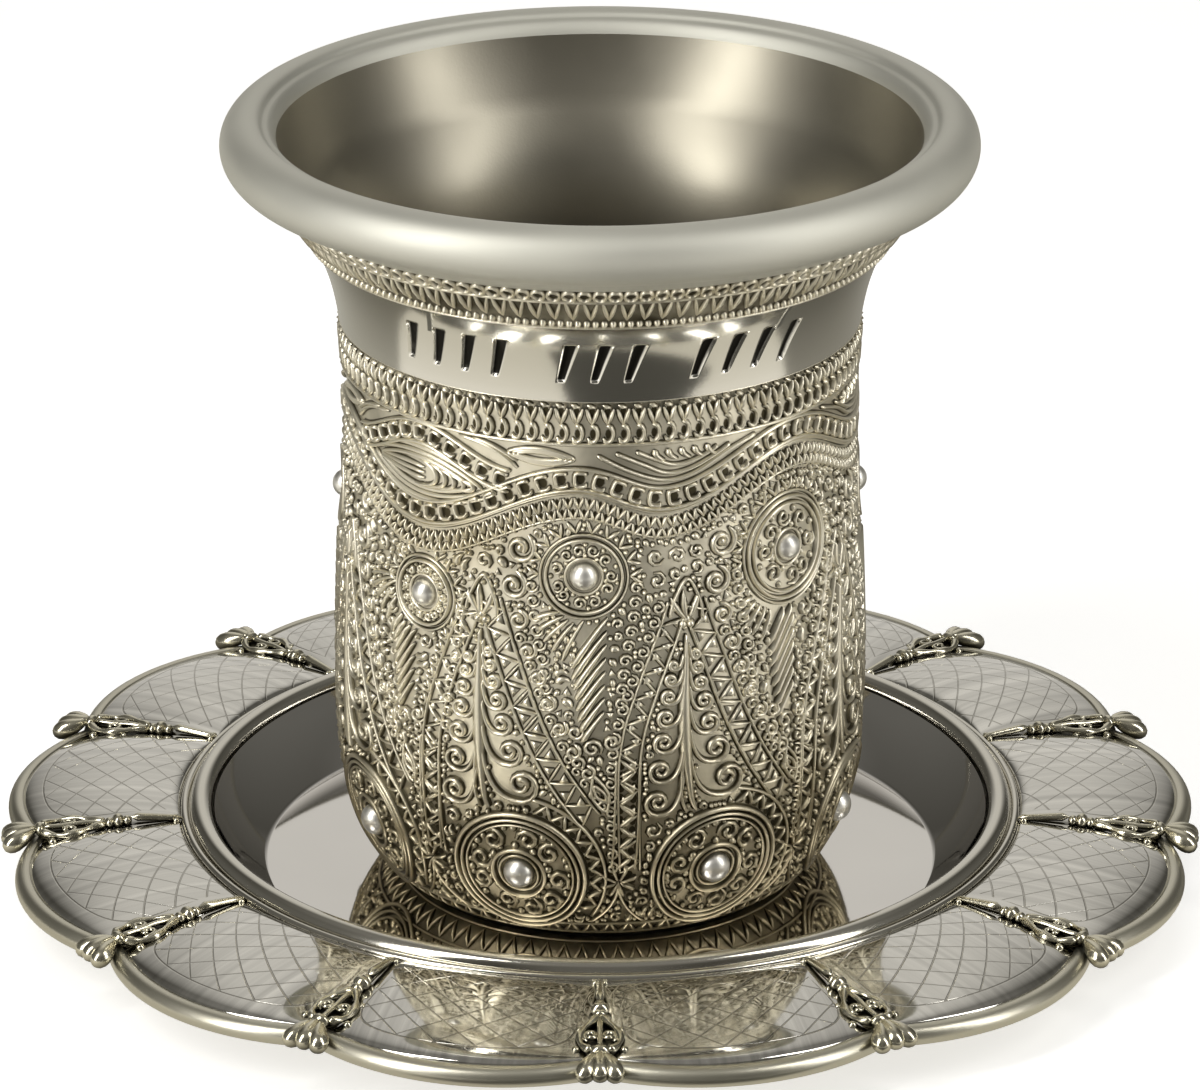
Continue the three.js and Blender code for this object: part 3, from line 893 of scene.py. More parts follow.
# ---- panels ----
COMMA = np.array([0.7, 1.0, 0.95, 0.8, 0.62, 0.45, 0.25])  # widths along a comma
LEAF = np.array([0.25, 0.72, 0.95, 1.0, 0.9, 0.62, 0.2])  # widths along a leaf
LEFT_SCROLLS = [(2.8, 16.8, 1.45), (2.55, 20.2, 1.3), (2.25, 23.2, 1.12), (2.0, 25.8, 0.96),
                (1.75, 28.0, 0.8), (1.5, 29.8, 0.65), (1.25, 31.3, 0.5)]  # out from the stem, height, size
RIGHT_SCROLLS = [(4.3, 18.5, 1.85), (3.1, 21.9, 1.45), (2.3, 24.8, 1.15), (1.8, 27.2, 0.95),
                 (1.4, 29.2, 0.78), (1.1, 30.9, 0.62), (0.9, 32.3, 0.5)]
LEFT_LADDER = [(-0.8, 37.6), (-1.6, 35), (-2.9, 31.5), (-4.1, 28), (-5.1, 24.5), (-5.6, 20.5), (-5.6, 15),
               (-5.4, 9)]
RIGHT_LADDER = [(0.9, 37.6), (1.7, 35), (2.9, 31.5), (4.1, 28), (5.5, 24.4), (7.1, 21), (8.9, 18),
                (11.0, 15)]
OUTER_CURLS = [(4.0, 43.3, 1.6), (3.3, 39.4, 1.5), (3.9, 35.9, 1.05), (4.9, 32.8, 0.9), (5.9, 30.1, 0.88),
               (6.9, 27.4, 0.85), (8.0, 24.9, 0.82), (9.3, 22.5, 0.8), (10.7, 20.3, 0.78)]
SPINE = [(0, 34.4), (-0.05, 31), (-0.15, 27.5), (-0.1, 24), (0.1, 20.5), (0.5, 17), (1.0, 15.6)]
SPINE_WIDTH = [(15.6, 0.35), (18, 0.8), (23, 1.4), (27, 1.25), (31, 0.7), (34.4, 0.3)]  # height, width
TULIP = [(-1.6, 36.2), (-1.2, 37.8), (0.25, 40.1), (1.52, 37.6), (1.68, 35.8)]
FAN = [(-1.9, 32.0), (-2.9, 32.9), (-3.7, 33.9), (-4.3, 35.0), (-4.7, 36.2)]  # outer ends of its strokes
PENDANT_CURLS = [(1.0, 22.9, 1.0, 1.4), (2.9, 23.6, 0.85, -1.4), (-0.6, 24.6, 0.8, -1.3),
                 (-0.4, 21.4, 0.75, 1.3)]  # place, radius, turns
ZIGZAG = 2.4  # one full zigzag of the column above a star
STAR = np.array([3.6, 7.9])


def scroll(work, side, out, height, radius):
    """A wire that leaves the stem, sweeps down and curls up again round a bright comma."""
    low = radians(250)
    foot = (out + radius * cos(low), height + radius * sin(low))
    tail = bezier((0.3, height + radius * 2.1), (0.35 + 0.1 * radius, height - radius * 0.75), foot, 10)
    path = np.concatenate([tail[:-1], spiral((out, height), radius, 250, 1.3, 18)]) * np.array([side, 1])
    last = len(path) - 1
    work.lay(path, swelling(len(path), (0, 0.34), (8, 0.56), (20, 0.48), (last, 0.56)), 0.38)
    turned = np.radians(np.linspace(150, -40, 7))
    comma = np.stack([side * (out + radius * 0.34 * np.cos(turned)),
                      height + radius * 0.36 * np.sin(turned)], axis=1)
    work.lay(comma, COMMA * (0.16 + 0.36 * radius), 0.3)
    work.clear((side * out * 0.8, height), radius * 1.35)


def stem(work):
    """A bright spindle that parts at its foot, with scrolls that grow downwards on both sides."""
    spine = curve_through(SPINE, 40)
    work.lay(spine, np.interp(spine[:, 1], *zip(*SPINE_WIDTH)), 0.5)
    work.lay(curve_through([(-0.35, 22), (-0.5, 19), (-0.45, 17), (0.1, 15.4)], 12), top=0.36)
    for side, scrolls in ((-1, LEFT_SCROLLS), (1, RIGHT_SCROLLS)):
        for place in scrolls:
            scroll(work, side, *place)
    work.lay(curve_through(TULIP, 22), top=0.32)
    for turn in (90, 200, 340):
        spot = (0.1 + 0.42 * cos(radians(turn)), 35.6 + 0.42 * sin(radians(turn)))
        work.bead(spot, 0.46, 0.4, rings=4, steps=12)
    for tip, bow in (((-1.5, 38.3), -0.9), ((-0.25, 39.0), -0.2), ((1.25, 38.4), 1.0)):
        petal = bezier((0.1, 35.9), (bow, 36.9), tip, 9)
        work.lay(petal, swelling(9, (0, 0.3), (5, 0.8), (8, 0.25)), 0.42)
    work.clear((0, 37.0), 1.8)


def ladder(work, points, half, pitch):
    """Two wires with a wide zigzag, whose cells hold bright three-sided lumps."""
    line = curve_through(points, 56)
    for side in (-half, half):
        work.lay(offset(line, side), 0.3, 0.24)
    work.clear_along(line, half)
    work.repeat(line, pitch, peak(pitch / 2, half), 0.34, 0.26)
    for k, (place, way) in enumerate(zip(*follow(line, pitch / 2))):
        side = 1 if k % 2 else -1
        normal = np.array([-way[1], way[0]])
        spot = place + side * 0.36 * half * normal
        if work.free(spot):
            work.triangle(spot, 0.5 * half + 0.12, -side * normal)


def curl_column(work, curls):
    """Single curls in a column, which shrink as they go down."""
    for k, (x, z, r) in enumerate(curls):
        if work.free((x, z)) and work.free((x + r * 0.6, z)):
            curl = spiral((x, z), r, 60 + 20 * (k % 3), -1.35, 20)
            work.lay(curl, 0.5 * (0.7 + 0.3 * r), 0.32)
            if r > 1:
                work.bead((x, z), r * 0.3, 0.3, steps=12)
            work.clear((x, z), r)


def tent(work):
    """The two sloping ladders above a stem, with a column of curls outside each."""
    ladder(work, LEFT_LADDER, 1.0, 2.6)
    ladder(work, RIGHT_LADDER, 1.15, 2.9)
    curl_column(work, OUTER_CURLS)
    inner = offset(curve_through(RIGHT_LADDER, 56), 1.95)
    work.repeat(inner[10:], 1.5, [spiral((0, 0), 0.62, 40, 1.3)], 0.32, 0.24)
    outer = offset(curve_through(LEFT_LADDER, 56), -1.75)
    work.repeat(outer, 1.55, [spiral((0, 0), 0.66, 200, -1.3)], 0.34, 0.26)


def fern(work):
    """Slanted strokes that shorten downwards, and a fan of strokes to their left."""
    for k in range(8):
        x, z, long = 2.5 - 0.05 * k, 36.6 - 1.4 * k, 1 - 0.055 * k
        blade = bezier((x, z), (x - 1.3 * long, z - 1.6 * long), (x - 3.5 * long, z - 5.3 * long), 10)
        work.lay(blade, np.linspace(0.28, 0.8, 10), 0.4)
        work.clear((x - 1.5, z - 2.4), 1.5)
    for k, end in enumerate(FAN):
        root = (0.6 - 0.42 * k, 36.9 + 0.05 * k)
        fan = bezier(root, ((root[0] + end[0]) / 2 - 0.25, (root[1] + end[1]) / 2 + 0.45), end, 8)
        work.lay(fan, np.linspace(0.26, 0.62, 8), 0.38)


def pendant(work):
    """Below an upper medallion: a fern, curls, a drop, a zigzag column and a star."""
    fern(work)
    for x, z, r, turns in PENDANT_CURLS:
        work.lay(spiral((x, z), r, 30 * z, turns), 0.42, 0.34)
    for scale in (1.0, 0.45):
        tip = (1.1, 18.2 + 1.9 * scale)
        drop = [tip, (1.8 + 0.75 * scale, 18.2), (2.3, 18.2 - 2.0 * scale),
                (1.75 - 0.75 * scale, 17.8), tip]
        work.lay(curve_through(drop, 26), top=0.34)
    work.clear((1.9, 18.0), 1.3)
    middle = curve_through([(4.45, 21.6), (4.35, 17), (4.2, 12), (4.0, 9.6)], 40)
    for side in (-1.15, 1.15):
        work.lay(offset(middle, side), 0.34, 0.26)
    work.clear_along(middle, 1.15)
    for across in (-0.62, 0.62):
        work.pits(middle, ZIGZAG / 2, (0, across), 0.62, 0.42)
    work.repeat(middle, ZIGZAG, peak(ZIGZAG / 2, 0.72, 5), 0.46, 0.36)
    for k in range(8):
        turn = TURN * (k + 0.4) / 8
        way = np.array([cos(turn), sin(turn)])
        work.lay(stroke(STAR + 0.2 * way, STAR + 1.9 * way, 6), np.linspace(.3, .5, 6), 0.36)
        side = turn + TURN / 16
        work.hole((STAR[0] + 1.35 * cos(side), STAR[1] + 1.35 * sin(side)), 0.45, 0.4)
    work.clear(STAR, 1.9)
    for end in ((0.4, 2.4), (7.0, 2.2)):
        work.lay(bezier(STAR, (STAR[0], 4.6), end, 14), top=0.3)


def halo(work):
    """A zigzag between a lower medallion and a wire round its upper right side."""
    middle = arc(LOWER_RADIUS + 1.15, 75, -30, 60, (0, LOWER_HEIGHT))
    work.lay(arc(LOWER_RADIUS + 2.05, 80, -35, 50, (0, LOWER_HEIGHT)), top=0.3)
    work.clear_along(middle, 0.9)
    for across in (-0.5, 0.5):
        work.pits(offset(middle, across), 0.95, (0, 0), 0.42, 0.32)
    work.repeat(middle, 1.9, peak(0.95, 0.72, 5), 0.42, 0.34)


def crowns(work, height, radius):
    """A pointed fringe over an upper medallion, and a column of curls down from each of its sides."""
    line = arc(radius + 1.0, -10, 190, 60, (0, height))
    work.repeat(line, 1.7, vee(1.4, 0.6, -0.6), 0.38, 0.28)
    for side in (-1, 1):
        column = curve_through([(side * (radius + out), height - down)
                                for out, down in ((1.1, 0.5), (0.6, 5), (-0.2, 9.5), (-0.6, 14))], 30)
        work.repeat(column, 1.6, [spiral((0, 0), 0.66, 90, side * 1.3)], 0.34, 0.26)


# ---- filling of the free ground ----
CELL = 0.15
FILLED_HEIGHT = 52  # the filling stays below this
FILLING = [(1.05, ("curl", "comma", "curl")), (0.86, ("curl", "leaf", "comma", "curl")),
           (0.66, ("comma", "leaf", "curl")), (0.5, ("curl", "triangle", "leaf")),
           (0.38, ("triangle", "leaf")), (0.28, ("bead",))]  # half the side of a motif's square, kinds
SPARSE = 0.3  # motifs under this half side are left out at random


def taken_ground(angle, height):
    """Cells of the ground where no filling may go: outside the panels, and near wires laid before."""
    rows, columns = angle.shape
    taken = ~free(angle, height)
    for mark in marks:
        at_row = (mark[:, 1] / CELL).astype(int)
        at_column = ((mark[:, 0] % TURN) * MEAN_RADIUS / CELL).astype(int) % columns
        ok = (at_row >= 0) & (at_row < rows)
        for dr in (-1, 0, 1):
            for dc in (-1, 0, 1):
                taken[np.clip(at_row[ok] + dr, 0, rows - 1), (at_column[ok] + dc) % columns] = True
    for centre, middle, radius in keep_clear:
        taken |= gap(angle, centre) ** 2 + (height - middle) ** 2 < radius ** 2
    return taken


def fill_ground(work):
    """Sets small curls, commas, leaves and beads wherever the layout left the ground free."""
    columns, rows = int(TURN * MEAN_RADIUS / CELL), int(FILLED_HEIGHT / CELL)
    grid_angle = (np.arange(columns) + 0.5) * CELL / MEAN_RADIUS
    grid_height = (np.arange(rows) + 0.5) * CELL
    taken = taken_ground(*np.meshgrid(grid_angle, grid_height))
    random = np.random.default_rng(7)
    for reach, kinds in FILLING:
        cells = int(reach / CELL)
        spots = np.argwhere(~taken)
        random.shuffle(spots)
        for row, column in spots:
            window_rows = slice(max(0, row - cells), row + cells + 1)
            window_columns = np.arange(column - cells, column + cells + 1) % columns
            if taken[window_rows][:, window_columns].any():
                continue
            if reach < SPARSE and random.uniform() > 0.6:
                continue
            kind = random.choice(kinds)
            filler(work.about(grid_angle[column]), random, kind, grid_height[row], reach)
            taken[np.ix_(np.arange(window_rows.start, min(rows, window_rows.stop)), window_columns)] = True


def filler(work, random, kind, height, reach):
    """One small motif that fills a square of the given half side."""
    turn = random.uniform(0, TURN)
    across, up = np.array([cos(turn), sin(turn)]), np.array([-sin(turn), cos(turn)])
    middle = np.array([0.0, height])
    top = random.uniform(0.14, 0.34)
    if kind == "curl":
        curl = spiral(middle, reach * 0.86, degrees(turn), random.choice([-1.15, 1.15]), 10)
        work.lay(curl, swelling(10, (0, 0.25), (5, 0.5), (9, 0.4)), top)
    elif kind == "leaf":
        blade = bezier(middle - reach * across, middle + reach * 0.5 * up, middle + reach * across, 7)
        work.lay(blade, LEAF * (0.3 + 0.95 * reach), top + 0.1)
    elif kind == "comma":
        for shift in (-0.52, 0.42):
            start, end = (middle + side * reach * across * 0.85 + shift * reach * up for side in (-1, 1))
            comma = bezier(start, middle + (shift + 0.75) * reach * up, end, 7)
            work.lay(comma, COMMA * (0.35 + 0.6 * reach), top + 0.08)
    elif kind == "triangle":
        work.triangle(middle, reach * 1.15, across, top)
    else:
        work.bead(middle, reach, top, steps=7)


def relief(name, motifs, clipped=False, materials=(FILIGREE,)):
    """Makes a piece of motifs, each given with its centre angle and its other values."""
    work = Filigree(clipped)
    for motif, centre, *values in motifs:
        motif(work.about(centre), *values)
    work.piece(name, "cup", "cup_silver", materials)


def filigree():
    """The filling comes last, because it looks for the ground that the rest left free."""
    stems = [radians(CROWN + 45 * k) + radians(22.5) for k in range(REPEATS)]
    pendants = [radians(CROWN + 45 * k) for k in range(REPEATS)]
    relief("cup_band_wires", [(motif, 0.0) for motif in (lower_band, upper_band, foot_row)])
    relief("cup_wave", [(motif, 0.0) for motif in (wave, almonds, net)])
    relief("cup_medallions", [(upper_medallion, *place) for place in upper_medallions]
           + [(lower_medallion, angle) for angle in lower_angles], materials=(FILIGREE, STUD))
    relief("cup_tents", [(motif, angle) for angle in stems for motif in (stem, tent)], clipped=True)
    hanging = [motif for pair in zip(pendants, lower_angles) for motif in zip((pendant, halo), pair)]
    relief("cup_pendants", hanging + [(crowns, *place) for place in upper_medallions], clipped=True)
    relief("cup_filling", [(fill_ground, 0.0)])


# ---- the saucer ----
PETALS = 13
PETAL_HALF = pi / PETALS
SHELL = 1.4
FLOOR_RADIUS = 34.3
WELL_RADIUS = 39.6
WELL_DEPTH = 6.3
RING_RADIUS = 41.0
RING_HALF = 1.15
RING_TOP = 7.3
BEADING = 0.42  # radius of the fine ring outside the main one
PETAL_START = 43.2
PETAL_TIP = 61.5
PETAL_NOTCH = 58.6
RIM_WIDTH = 1.7
RIM_BOTTOM = 3.3
RIM_ROLL = 1.15
VALLEY = (5.8, 4.7)  # height of a petal's border at the ring and at the rim
PILLOW = 1.45  # how far a petal is domed
HATCH_WAY = (0.777, 0.629)  # direction of the engraved lines
EDGE_SOFTNESS = 1.6  # rounds the corners of the engraved outline
AROUND = 312  # segments of the turned parts
chord_half = PETAL_NOTCH * sin(PETAL_HALF)
bulge = PETAL_TIP - PETAL_NOTCH * cos(PETAL_HALF)
EDGE_ARC = (chord_half ** 2 + bulge ** 2) / (2 * bulge)
EDGE_CENTRE = PETAL_TIP - EDGE_ARC


def petal_angle(angle):
    turn = angle / (2 * PETAL_HALF) - 0.5
    return (turn - np.round(turn)) * 2 * PETAL_HALF


def edge_radius(angle):
    within = petal_angle(angle)
    return EDGE_CENTRE * np.cos(within) + np.sqrt(EDGE_ARC ** 2 - (EDGE_CENTRE * np.sin(within)) ** 2)


def valley(along):
    return VALLEY[0] + (VALLEY[1] - VALLEY[0]) * np.clip(along, 0, 1)


def petal_height(along, angle):
    across = petal_angle(angle) / PETAL_HALF
    lengthwise = np.clip(np.sin(pi * along ** 0.8), 0, 1) ** 0.5
    return valley(along) + PILLOW * lengthwise * np.clip(1 - across ** 2, 0, 1) ** 0.62


def petal_columns(steps):
    """Angles round the saucer, closer together at the valleys between petals."""
    share = np.sin(np.linspace(-pi / 2, pi / 2, steps, endpoint=False))
    middles = (2 * np.arange(PETALS) + 1) * PETAL_HALF
    return (middles[:, None] + share * PETAL_HALF).reshape(-1, 1)


def saucer_well(plate):
    side = bezier((FLOOR_RADIUS, 0), (37.9, 2.9), (WELL_RADIUS, WELL_DEPTH - 0.2), 20)
    floor = [(r, 0) for r in (FLOOR_RADIUS - 0.06, 32, 24, 12, 0)]
    lathe(plate, np.vstack([side[::-1], floor]), PLATE, AROUND)


def saucer_ring(plate):
    base = RING_TOP - RING_HALF
    big = arc(RING_HALF, -8, 188, 26, (RING_RADIUS, base))
    small = arc(BEADING, -30, 200, 12, (RING_RADIUS + RING_HALF + 0.5, base - 0.15))
    lathe(plate, np.vstack([[(PETAL_START, VALLEY[0] - 0.05)], small, big]), PLATE, AROUND, slot=4)


def saucer_petals(plate):
    angle = petal_columns(36)
    share = (1 - np.cos(np.linspace(0, pi, 56))) / 2
    outer = edge_radius(angle) - RIM_WIDTH
    radius = PETAL_START + (outer - PETAL_START) * share
    height = petal_height(share[None, :], angle)
    within = petal_angle(angle)
    along, across = radius - PETAL_START, radius * np.sin(within)
    side_inset = radius * np.sin(PETAL_HALF - np.abs(within))
    nearest = np.exp(-side_inset / EDGE_SOFTNESS) + np.exp(-(outer - radius) / EDGE_SOFTNESS)
    bowed = along + 0.015 * across ** 2
    values = {"hatch_left": bowed * HATCH_WAY[0] + across * HATCH_WAY[1] + 40,
              "hatch_right": bowed * HATCH_WAY[0] - across * HATCH_WAY[1] + 40,
              "inset": -EDGE_SOFTNESS * np.log(nearest) + 0.45,
              "outline": np.clip((along - 3.5) / 5, 0, 1),
              # streak runs across each petal, for the painted sheen bands of its material.
              "streak": across * 0.55 + 23.0 * np.floor(angle / (2 * PETAL_HALF))}
    plate.grid(polar(radius, angle, height + PLATE)[:, ::-1], 2, loop_rows=True,
               **{name: value[:, ::-1] for name, value in values.items()})


def saucer_rim(plate):
    """An edge that rolls over and down round the petals, behind a fine groove."""
    angle = petal_columns(36)
    turn = np.radians(np.linspace(112, -35, 20))
    inset = np.concatenate([[RIM_WIDTH, RIM_WIDTH - 0.08], RIM_ROLL * (1 - np.cos(turn)), [0.7, 2.2]])
    top = np.concatenate([[VALLEY[1], VALLEY[1] - 0.14], RIM_BOTTOM + 0.45 + 1.1 * np.sin(turn),
                          [RIM_BOTTOM - 0.3, RIM_BOTTOM - 0.05]])
    points = polar(edge_radius(angle) - inset[None, :], angle, top[None, :] + PLATE)
    plate.grid(points[:, ::-1], 1, loop_rows=True)


def saucer_underside(plate):
    angle = petal_columns(12)
    rows = np.array([(0, -PLATE), (20, -PLATE), (FLOOR_RADIUS - 1.5, -PLATE),
                     (FLOOR_RADIUS - 0.6, -PLATE + 0.15), (FLOOR_RADIUS + 2, 0), (38.4, 1.6),
                     (WELL_RADIUS + 0.4, WELL_DEPTH - SHELL - 1.2)])
    share = np.linspace(0.03, 1, 10)[None, :]
    outer = edge_radius(angle)
    under_petal = PETAL_START + (outer - RIM_WIDTH - PETAL_START) * share
    radius = np.concatenate([rows[:, 0] + 0 * angle, under_petal, outer - 2.2], axis=1)
    height = np.concatenate([rows[:, 1] + 0 * angle, petal_height(share, angle) - SHELL,
                             RIM_BOTTOM - 0.05 + 0 * angle], axis=1)
    plate.grid(polar(radius, angle, height + PLATE), 3, loop_rows=True)


# ---- the saucer's ribs ----
def painted_top_light(up):
    """Painted top light: how bright a round form's colour is kept at a height from -1 to 1 of its section,
    darker underneath.
    """
    return np.clip(up * 0.6 + 0.45, 0, 1)


def blob(shape, centre, radii, turn=0.0, dip=0.0, taper=0.0, steps=14, rings=9, rise=None):
    """An egg-shaped lump: x lies along the rib, y across it and z up, turned by turn and dipped."""
    lat = np.linspace(0, pi, rings)[:, None]
    lon = np.arange(steps)[None, :] * TURN / steps
    x = np.cos(lat) + 0 * lon
    swell = 1 + taper * x
    local = np.stack([x * radii[0], np.sin(lat) * np.cos(lon) * radii[1] * swell,
                      np.sin(lat) * np.sin(lon) * radii[2] * swell], axis=-1)
    spin = np.array([[cos(turn), sin(turn), 0], [-sin(turn), cos(turn), 0], [0, 0, 1]])
    tip = np.array([[cos(dip), 0, -sin(dip)], [0, 1, 0], [sin(dip), 0, cos(dip)]])
    shape.grid(local @ tip @ spin + np.array(centre), loop_columns=True,
               rise=painted_top_light(local[..., 2] / radii[2]) if rise is None else rise)


def strand(shape, line, radius, steps=9):
    """A round tube along a line of (along, across, up) points, closed at its ends by tapering."""
    line = np.asarray(line, dtype=float)
    radius = np.broadcast_to(radius, len(line)).copy()
    radius[[0, -1]] *= 0.15
    tangent = np.gradient(line, axis=0)
    tangent /= np.linalg.norm(tangent, axis=1, keepdims=True)
    side = np.cross([0, 0, 1.0], tangent)
    side /= np.linalg.norm(side, axis=1, keepdims=True)
    up = np.cross(tangent, side)
    lon = np.arange(steps) * TURN / steps
    circle = side[:, None] * np.cos(lon)[:, None] + up[:, None] * np.sin(lon)[:, None]
    shape.grid(line[:, None] + circle * radius[:, None, None], loop_columns=True,
               rise=painted_top_light(np.sin(lon)))


def on_rib(radius, across, up):
    """A place at a height above the valley between two petals."""
    along = (radius - PETAL_START) / (PETAL_NOTCH - RIM_WIDTH - PETAL_START)
    return (radius, across, float(valley(along) + PLATE) + up)


# radius, side and height of the outer strand of the openwork
SWAY = [(50.8, .2, 0.7), (52.0, .8, 0.85), (53.4, 1.6, 0.8), (54.9, 1.95, 0.75), (56.3, 1.6, 0.8),
        (57.4, 0.8, 0.95)]
RIB_SPINE = [(51.0, 0, 0.7), (53, 0, 1.0), (55, 0, 0.95), (57.2, 0, 1.05)]
# place and half lengths of the lumps along the middle
COLLAR = [((48.6, 0, 0.7), (0.5, 0.6, 0.55)), ((49.5, 0, 0.8), (0.66, 0.9, 0.75)),
          ((50.4, 0, 0.7), (0.5, 0.66, 0.55))]


def rib():
    """One cast rib in (along the radius, across, up) coordinates: stalk, collar, openwork and a trefoil."""
    one = Shape()
    stalk = [on_rib(r, 0, 0.25 + 0.1 * k) for k, r in enumerate(np.linspace(42.9, 48.2, 9))]
    strand(one, stalk, np.linspace(0.3, 0.46, 9))
    for side in (-1, 1):
        blob(one, on_rib(43.6, side * 0.5, 0.2), (0.34, 0.3, 0.34))
    for place, radii in COLLAR:
        blob(one, on_rib(*place), radii)
    # A flat near-black pad under the openwork: painted shade seen through its holes.
    blob(one, on_rib(54.2, 0, 0.05), (3.6, 1.9, 0.5), rise=0.1)
    for side in (-1, 1):
        line = curve_through([on_rib(r, side * y, z) for r, y, z in SWAY], 24)
        strand(one, line, 0.36 + 0.1 * np.sin(np.linspace(0, 5 * pi, 24)))
        curl = [on_rib(54.6 + 0.9 * (1 - 0.6 * t) * cos(t * 7 + 0.6),
                       side * (0.85 + 0.7 * (1 - 0.6 * t) * sin(t * 7 + 0.6)), 0.75 + 0.25 * t)
                for t in np.linspace(0, 1, 14)]
        strand(one, curl, 0.25)
        for place, radii in (((52.9, side * 2.0, 0.45), (0.42, 0.36, 0.38)),
                             ((56.3, side * 2.3, 0.4), (0.46, 0.42, 0.4))):
            blob(one, on_rib(*place), radii, steps=10, rings=7)
    strand(one, curve_through([on_rib(*place) for place in RIB_SPINE], 14), 0.28)
    blob(one, on_rib(57.5, 0, 0.9), (0.6, 0.95, 0.7))
    for turn, across in ((-0.42, -1.05), (0.0, 0.0), (0.42, 1.05)):
        level_at = on_rib(59.5, 0, 0.45)[2]
        blob(one, (59.6, across, level_at - 0.12 * abs(across)), (1.95, 0.98, 0.95),
             turn=turn, dip=0.36, taper=0.35, steps=16, rings=11)
    return one


def saucer_ribs():
    one, ribs = rib(), Shape()
    for turn in angles(PETALS):
        axes = np.array([[sin(turn), -cos(turn), 0], [cos(turn), sin(turn), 0], [0, 0, 1.0]])
        start = ribs.count
        for points, faces, slots in zip(one.points, one.faces, one.slots):
            ribs.points.append(points @ axes)
            ribs.faces.append(faces + start)
            ribs.slots.append(slots)
        ribs.values.setdefault("rise", []).extend((at + start, value) for at, value in one.values["rise"])
        ribs.count += one.count
    ribs.piece("saucer_ribs", "saucer", "saucer_silver", [RIB])


def saucer():
    plate = Shape()
    for part in (saucer_well, saucer_ring, saucer_petals, saucer_rim, saucer_underside):
        part(plate)
    plate.piece("saucer_plate", "saucer", "saucer_silver", [WELL, RIM, PETAL, UNDER, RING])
    saucer_ribs()


# ---- camera, floor and light ----
CAMERA_RISE = 22.0  # degrees above the horizon
CAMERA_DISTANCE = 645.8
AIM_HEIGHT = 35.2
LENS = 191.37
LIGHTS_AIM = Vector((0, 0, 40))
WARM = (1.0, 0.985, 0.95)
CAMERA_WHITE = (0.9, 0.9, 0.9)  # what the camera sees behind the object
EVERYWHERE = (-4000, 4000, -4000, 4000)
# cards: left, right, front and back ends, height, glow, shade, and shade near the object
CARDS = {
    "table_card": (EVERYWHERE, 0.3, 0.92, (0.98, 0.945, 0.87), (0.6, 0.565, 0.475)),
    "front_flag": ((-26, 70, -460, -64), 0.4, 0.6, (0.045, 0.042, 0.03), None),
    "left_flag": ((-700, -30, 8, 600), 0.4, 0.6, (0.66, 0.635, 0.55), (0.22, 0.205, 0.16)),
    "right_flag": ((30, 700, -12, 600), 0.4, 0.6, (0.42, 0.4, 0.34), (0.16, 0.15, 0.12)),
}


def linked(name, data):
    made = bpy.data.objects.new(name, data)
    bpy.context.collection.objects.link(made)
    return made


def camera():
    data = bpy.data.cameras.new("camera")
    data.lens = LENS
    data.sensor_width = 36.0
    data.clip_start, data.clip_end = 0.01, 20.0
    made = linked("camera", data)
    rise = radians(CAMERA_RISE)
    back = Vector((0, -cos(rise), sin(rise)))
    made.location = (Vector((0, 0, AIM_HEIGHT)) + back * CAMERA_DISTANCE) * MM
    made.rotation_euler = (-back).to_track_quat("-Z", "Y").to_euler()
    bpy.context.scene.camera = made


def flat_card(name, ends, height, glow, shade, near=None, base=0.02):
    """A level rectangle that glows, with its own shade near the middle."""
    left, right, front, back = ends
    mesh = bpy.data.meshes.new(name)
    corners = [(left, front), (right, front), (right, back), (left, back)]
    mesh.from_pydata([(x * MM, y * MM, height * MM) for x, y in corners], [], [(0, 1, 2, 3)])
    look = Metal(name)
    colour = look.mixed(look.noise(6.0), [part * 0.97 for part in shade], shade)
    if near:
        reach = look.add("VectorMath", {"operation": "LENGTH"}, Vector=look.place()).outputs["Value"]
        colour = look.mixed(look.eased(reach, 70 * MM, 165 * MM), near, colour)
    for key, value in (("Emission Color", colour), ("Base Color", (base, base, base, 1)),
                       ("Emission Strength", glow), ("Roughness", 0.8), ("Metallic", 0.0)):
        look.feed(look.shader.inputs[key], value)
    mesh.materials.append(look.material)
    made = linked(name, mesh)
    return made


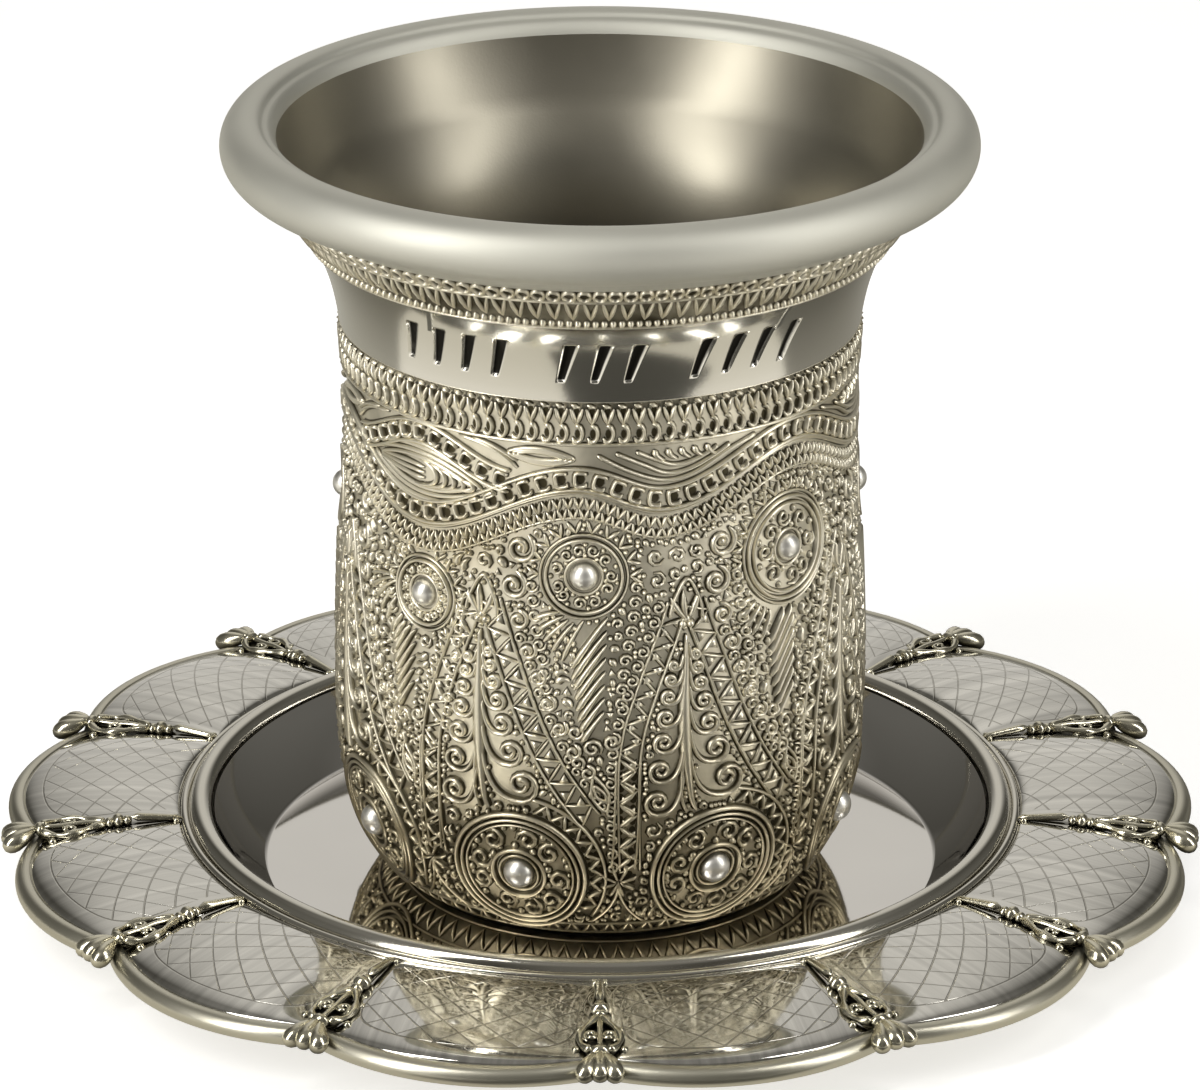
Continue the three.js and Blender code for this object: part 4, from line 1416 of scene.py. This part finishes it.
def floor_and_cards():
    """A pale glowing floor, and the cards round the object that only its reflections show."""
    floor = flat_card("floor", EVERYWHERE, 0, 0.68, (0.8, 0.8, 0.8), base=0.8)
    floor.visible_glossy = False
    for name, facts in CARDS.items():
        card = flat_card(name, *facts)
        card.visible_camera = card.visible_diffuse = card.visible_shadow = False


def softbox(name, place, size, power, colour=(1.0, 1.0, 1.0)):
    data = bpy.data.lights.new(name, "AREA")
    data.shape = "RECTANGLE"
    data.size, data.size_y = size[0] * MM, size[1] * MM
    data.energy, data.color = power, colour
    made = linked(name, data)
    made.location = Vector(place) * MM
    made.rotation_euler = (Vector(place) - LIGHTS_AIM).to_track_quat("Z", "Y").to_euler()
    return made


def world():
    """A studio that is bright behind and above and dark at the sides; the camera sees plain white."""
    made = bpy.data.worlds.new("studio")
    bpy.context.scene.world = made
    made.use_nodes = True
    nodes = Nodes(made.node_tree)
    direction = nodes.add("TexCoord").outputs["Generated"]
    split = nodes.add("SeparateXYZ", Vector=direction).outputs
    beside = nodes.maths("ABSOLUTE", split["X"])
    middle = nodes.eased(beside, 0.1, 0.5, 1.0, 0.0)
    behind = nodes.eased(split["Y"], 0.1, 0.6, 0.12, 1.0)
    overhead = nodes.eased(split["Z"], 0.55, 0.95, 0.0, 0.26)
    share = nodes.maths("MAXIMUM", nodes.maths("MULTIPLY", middle, behind), overhead)
    sides = nodes.mixed(nodes.ranged(beside, 0.45, 0.9), (0.065, 0.062, 0.053), (0.13, 0.126, 0.113))
    studio_light = nodes.mixed(share, sides, (0.66, 0.64, 0.6))
    seen = nodes.add("LightPath").outputs["Is Camera Ray"]
    background = nodes.tree.nodes["Background"].inputs
    nodes.feed(background["Color"], nodes.mixed(seen, studio_light, CAMERA_WHITE))
    nodes.feed(background["Strength"], 1.0)


def studio():
    floor_and_cards()
    world()
    softbox("left_box", (-350, -280, 330), (130, 620), 2.15, WARM)
    softbox("right_box", (410, -190, 330), (110, 620), 1.3, WARM)
    softbox("top_box", (0, 120, 620), (420, 320), 0.5).visible_glossy = False
    bpy.context.scene.view_settings.view_transform = "Standard"


camera()
cup_body()
cup_band()
filigree()
saucer()
studio()
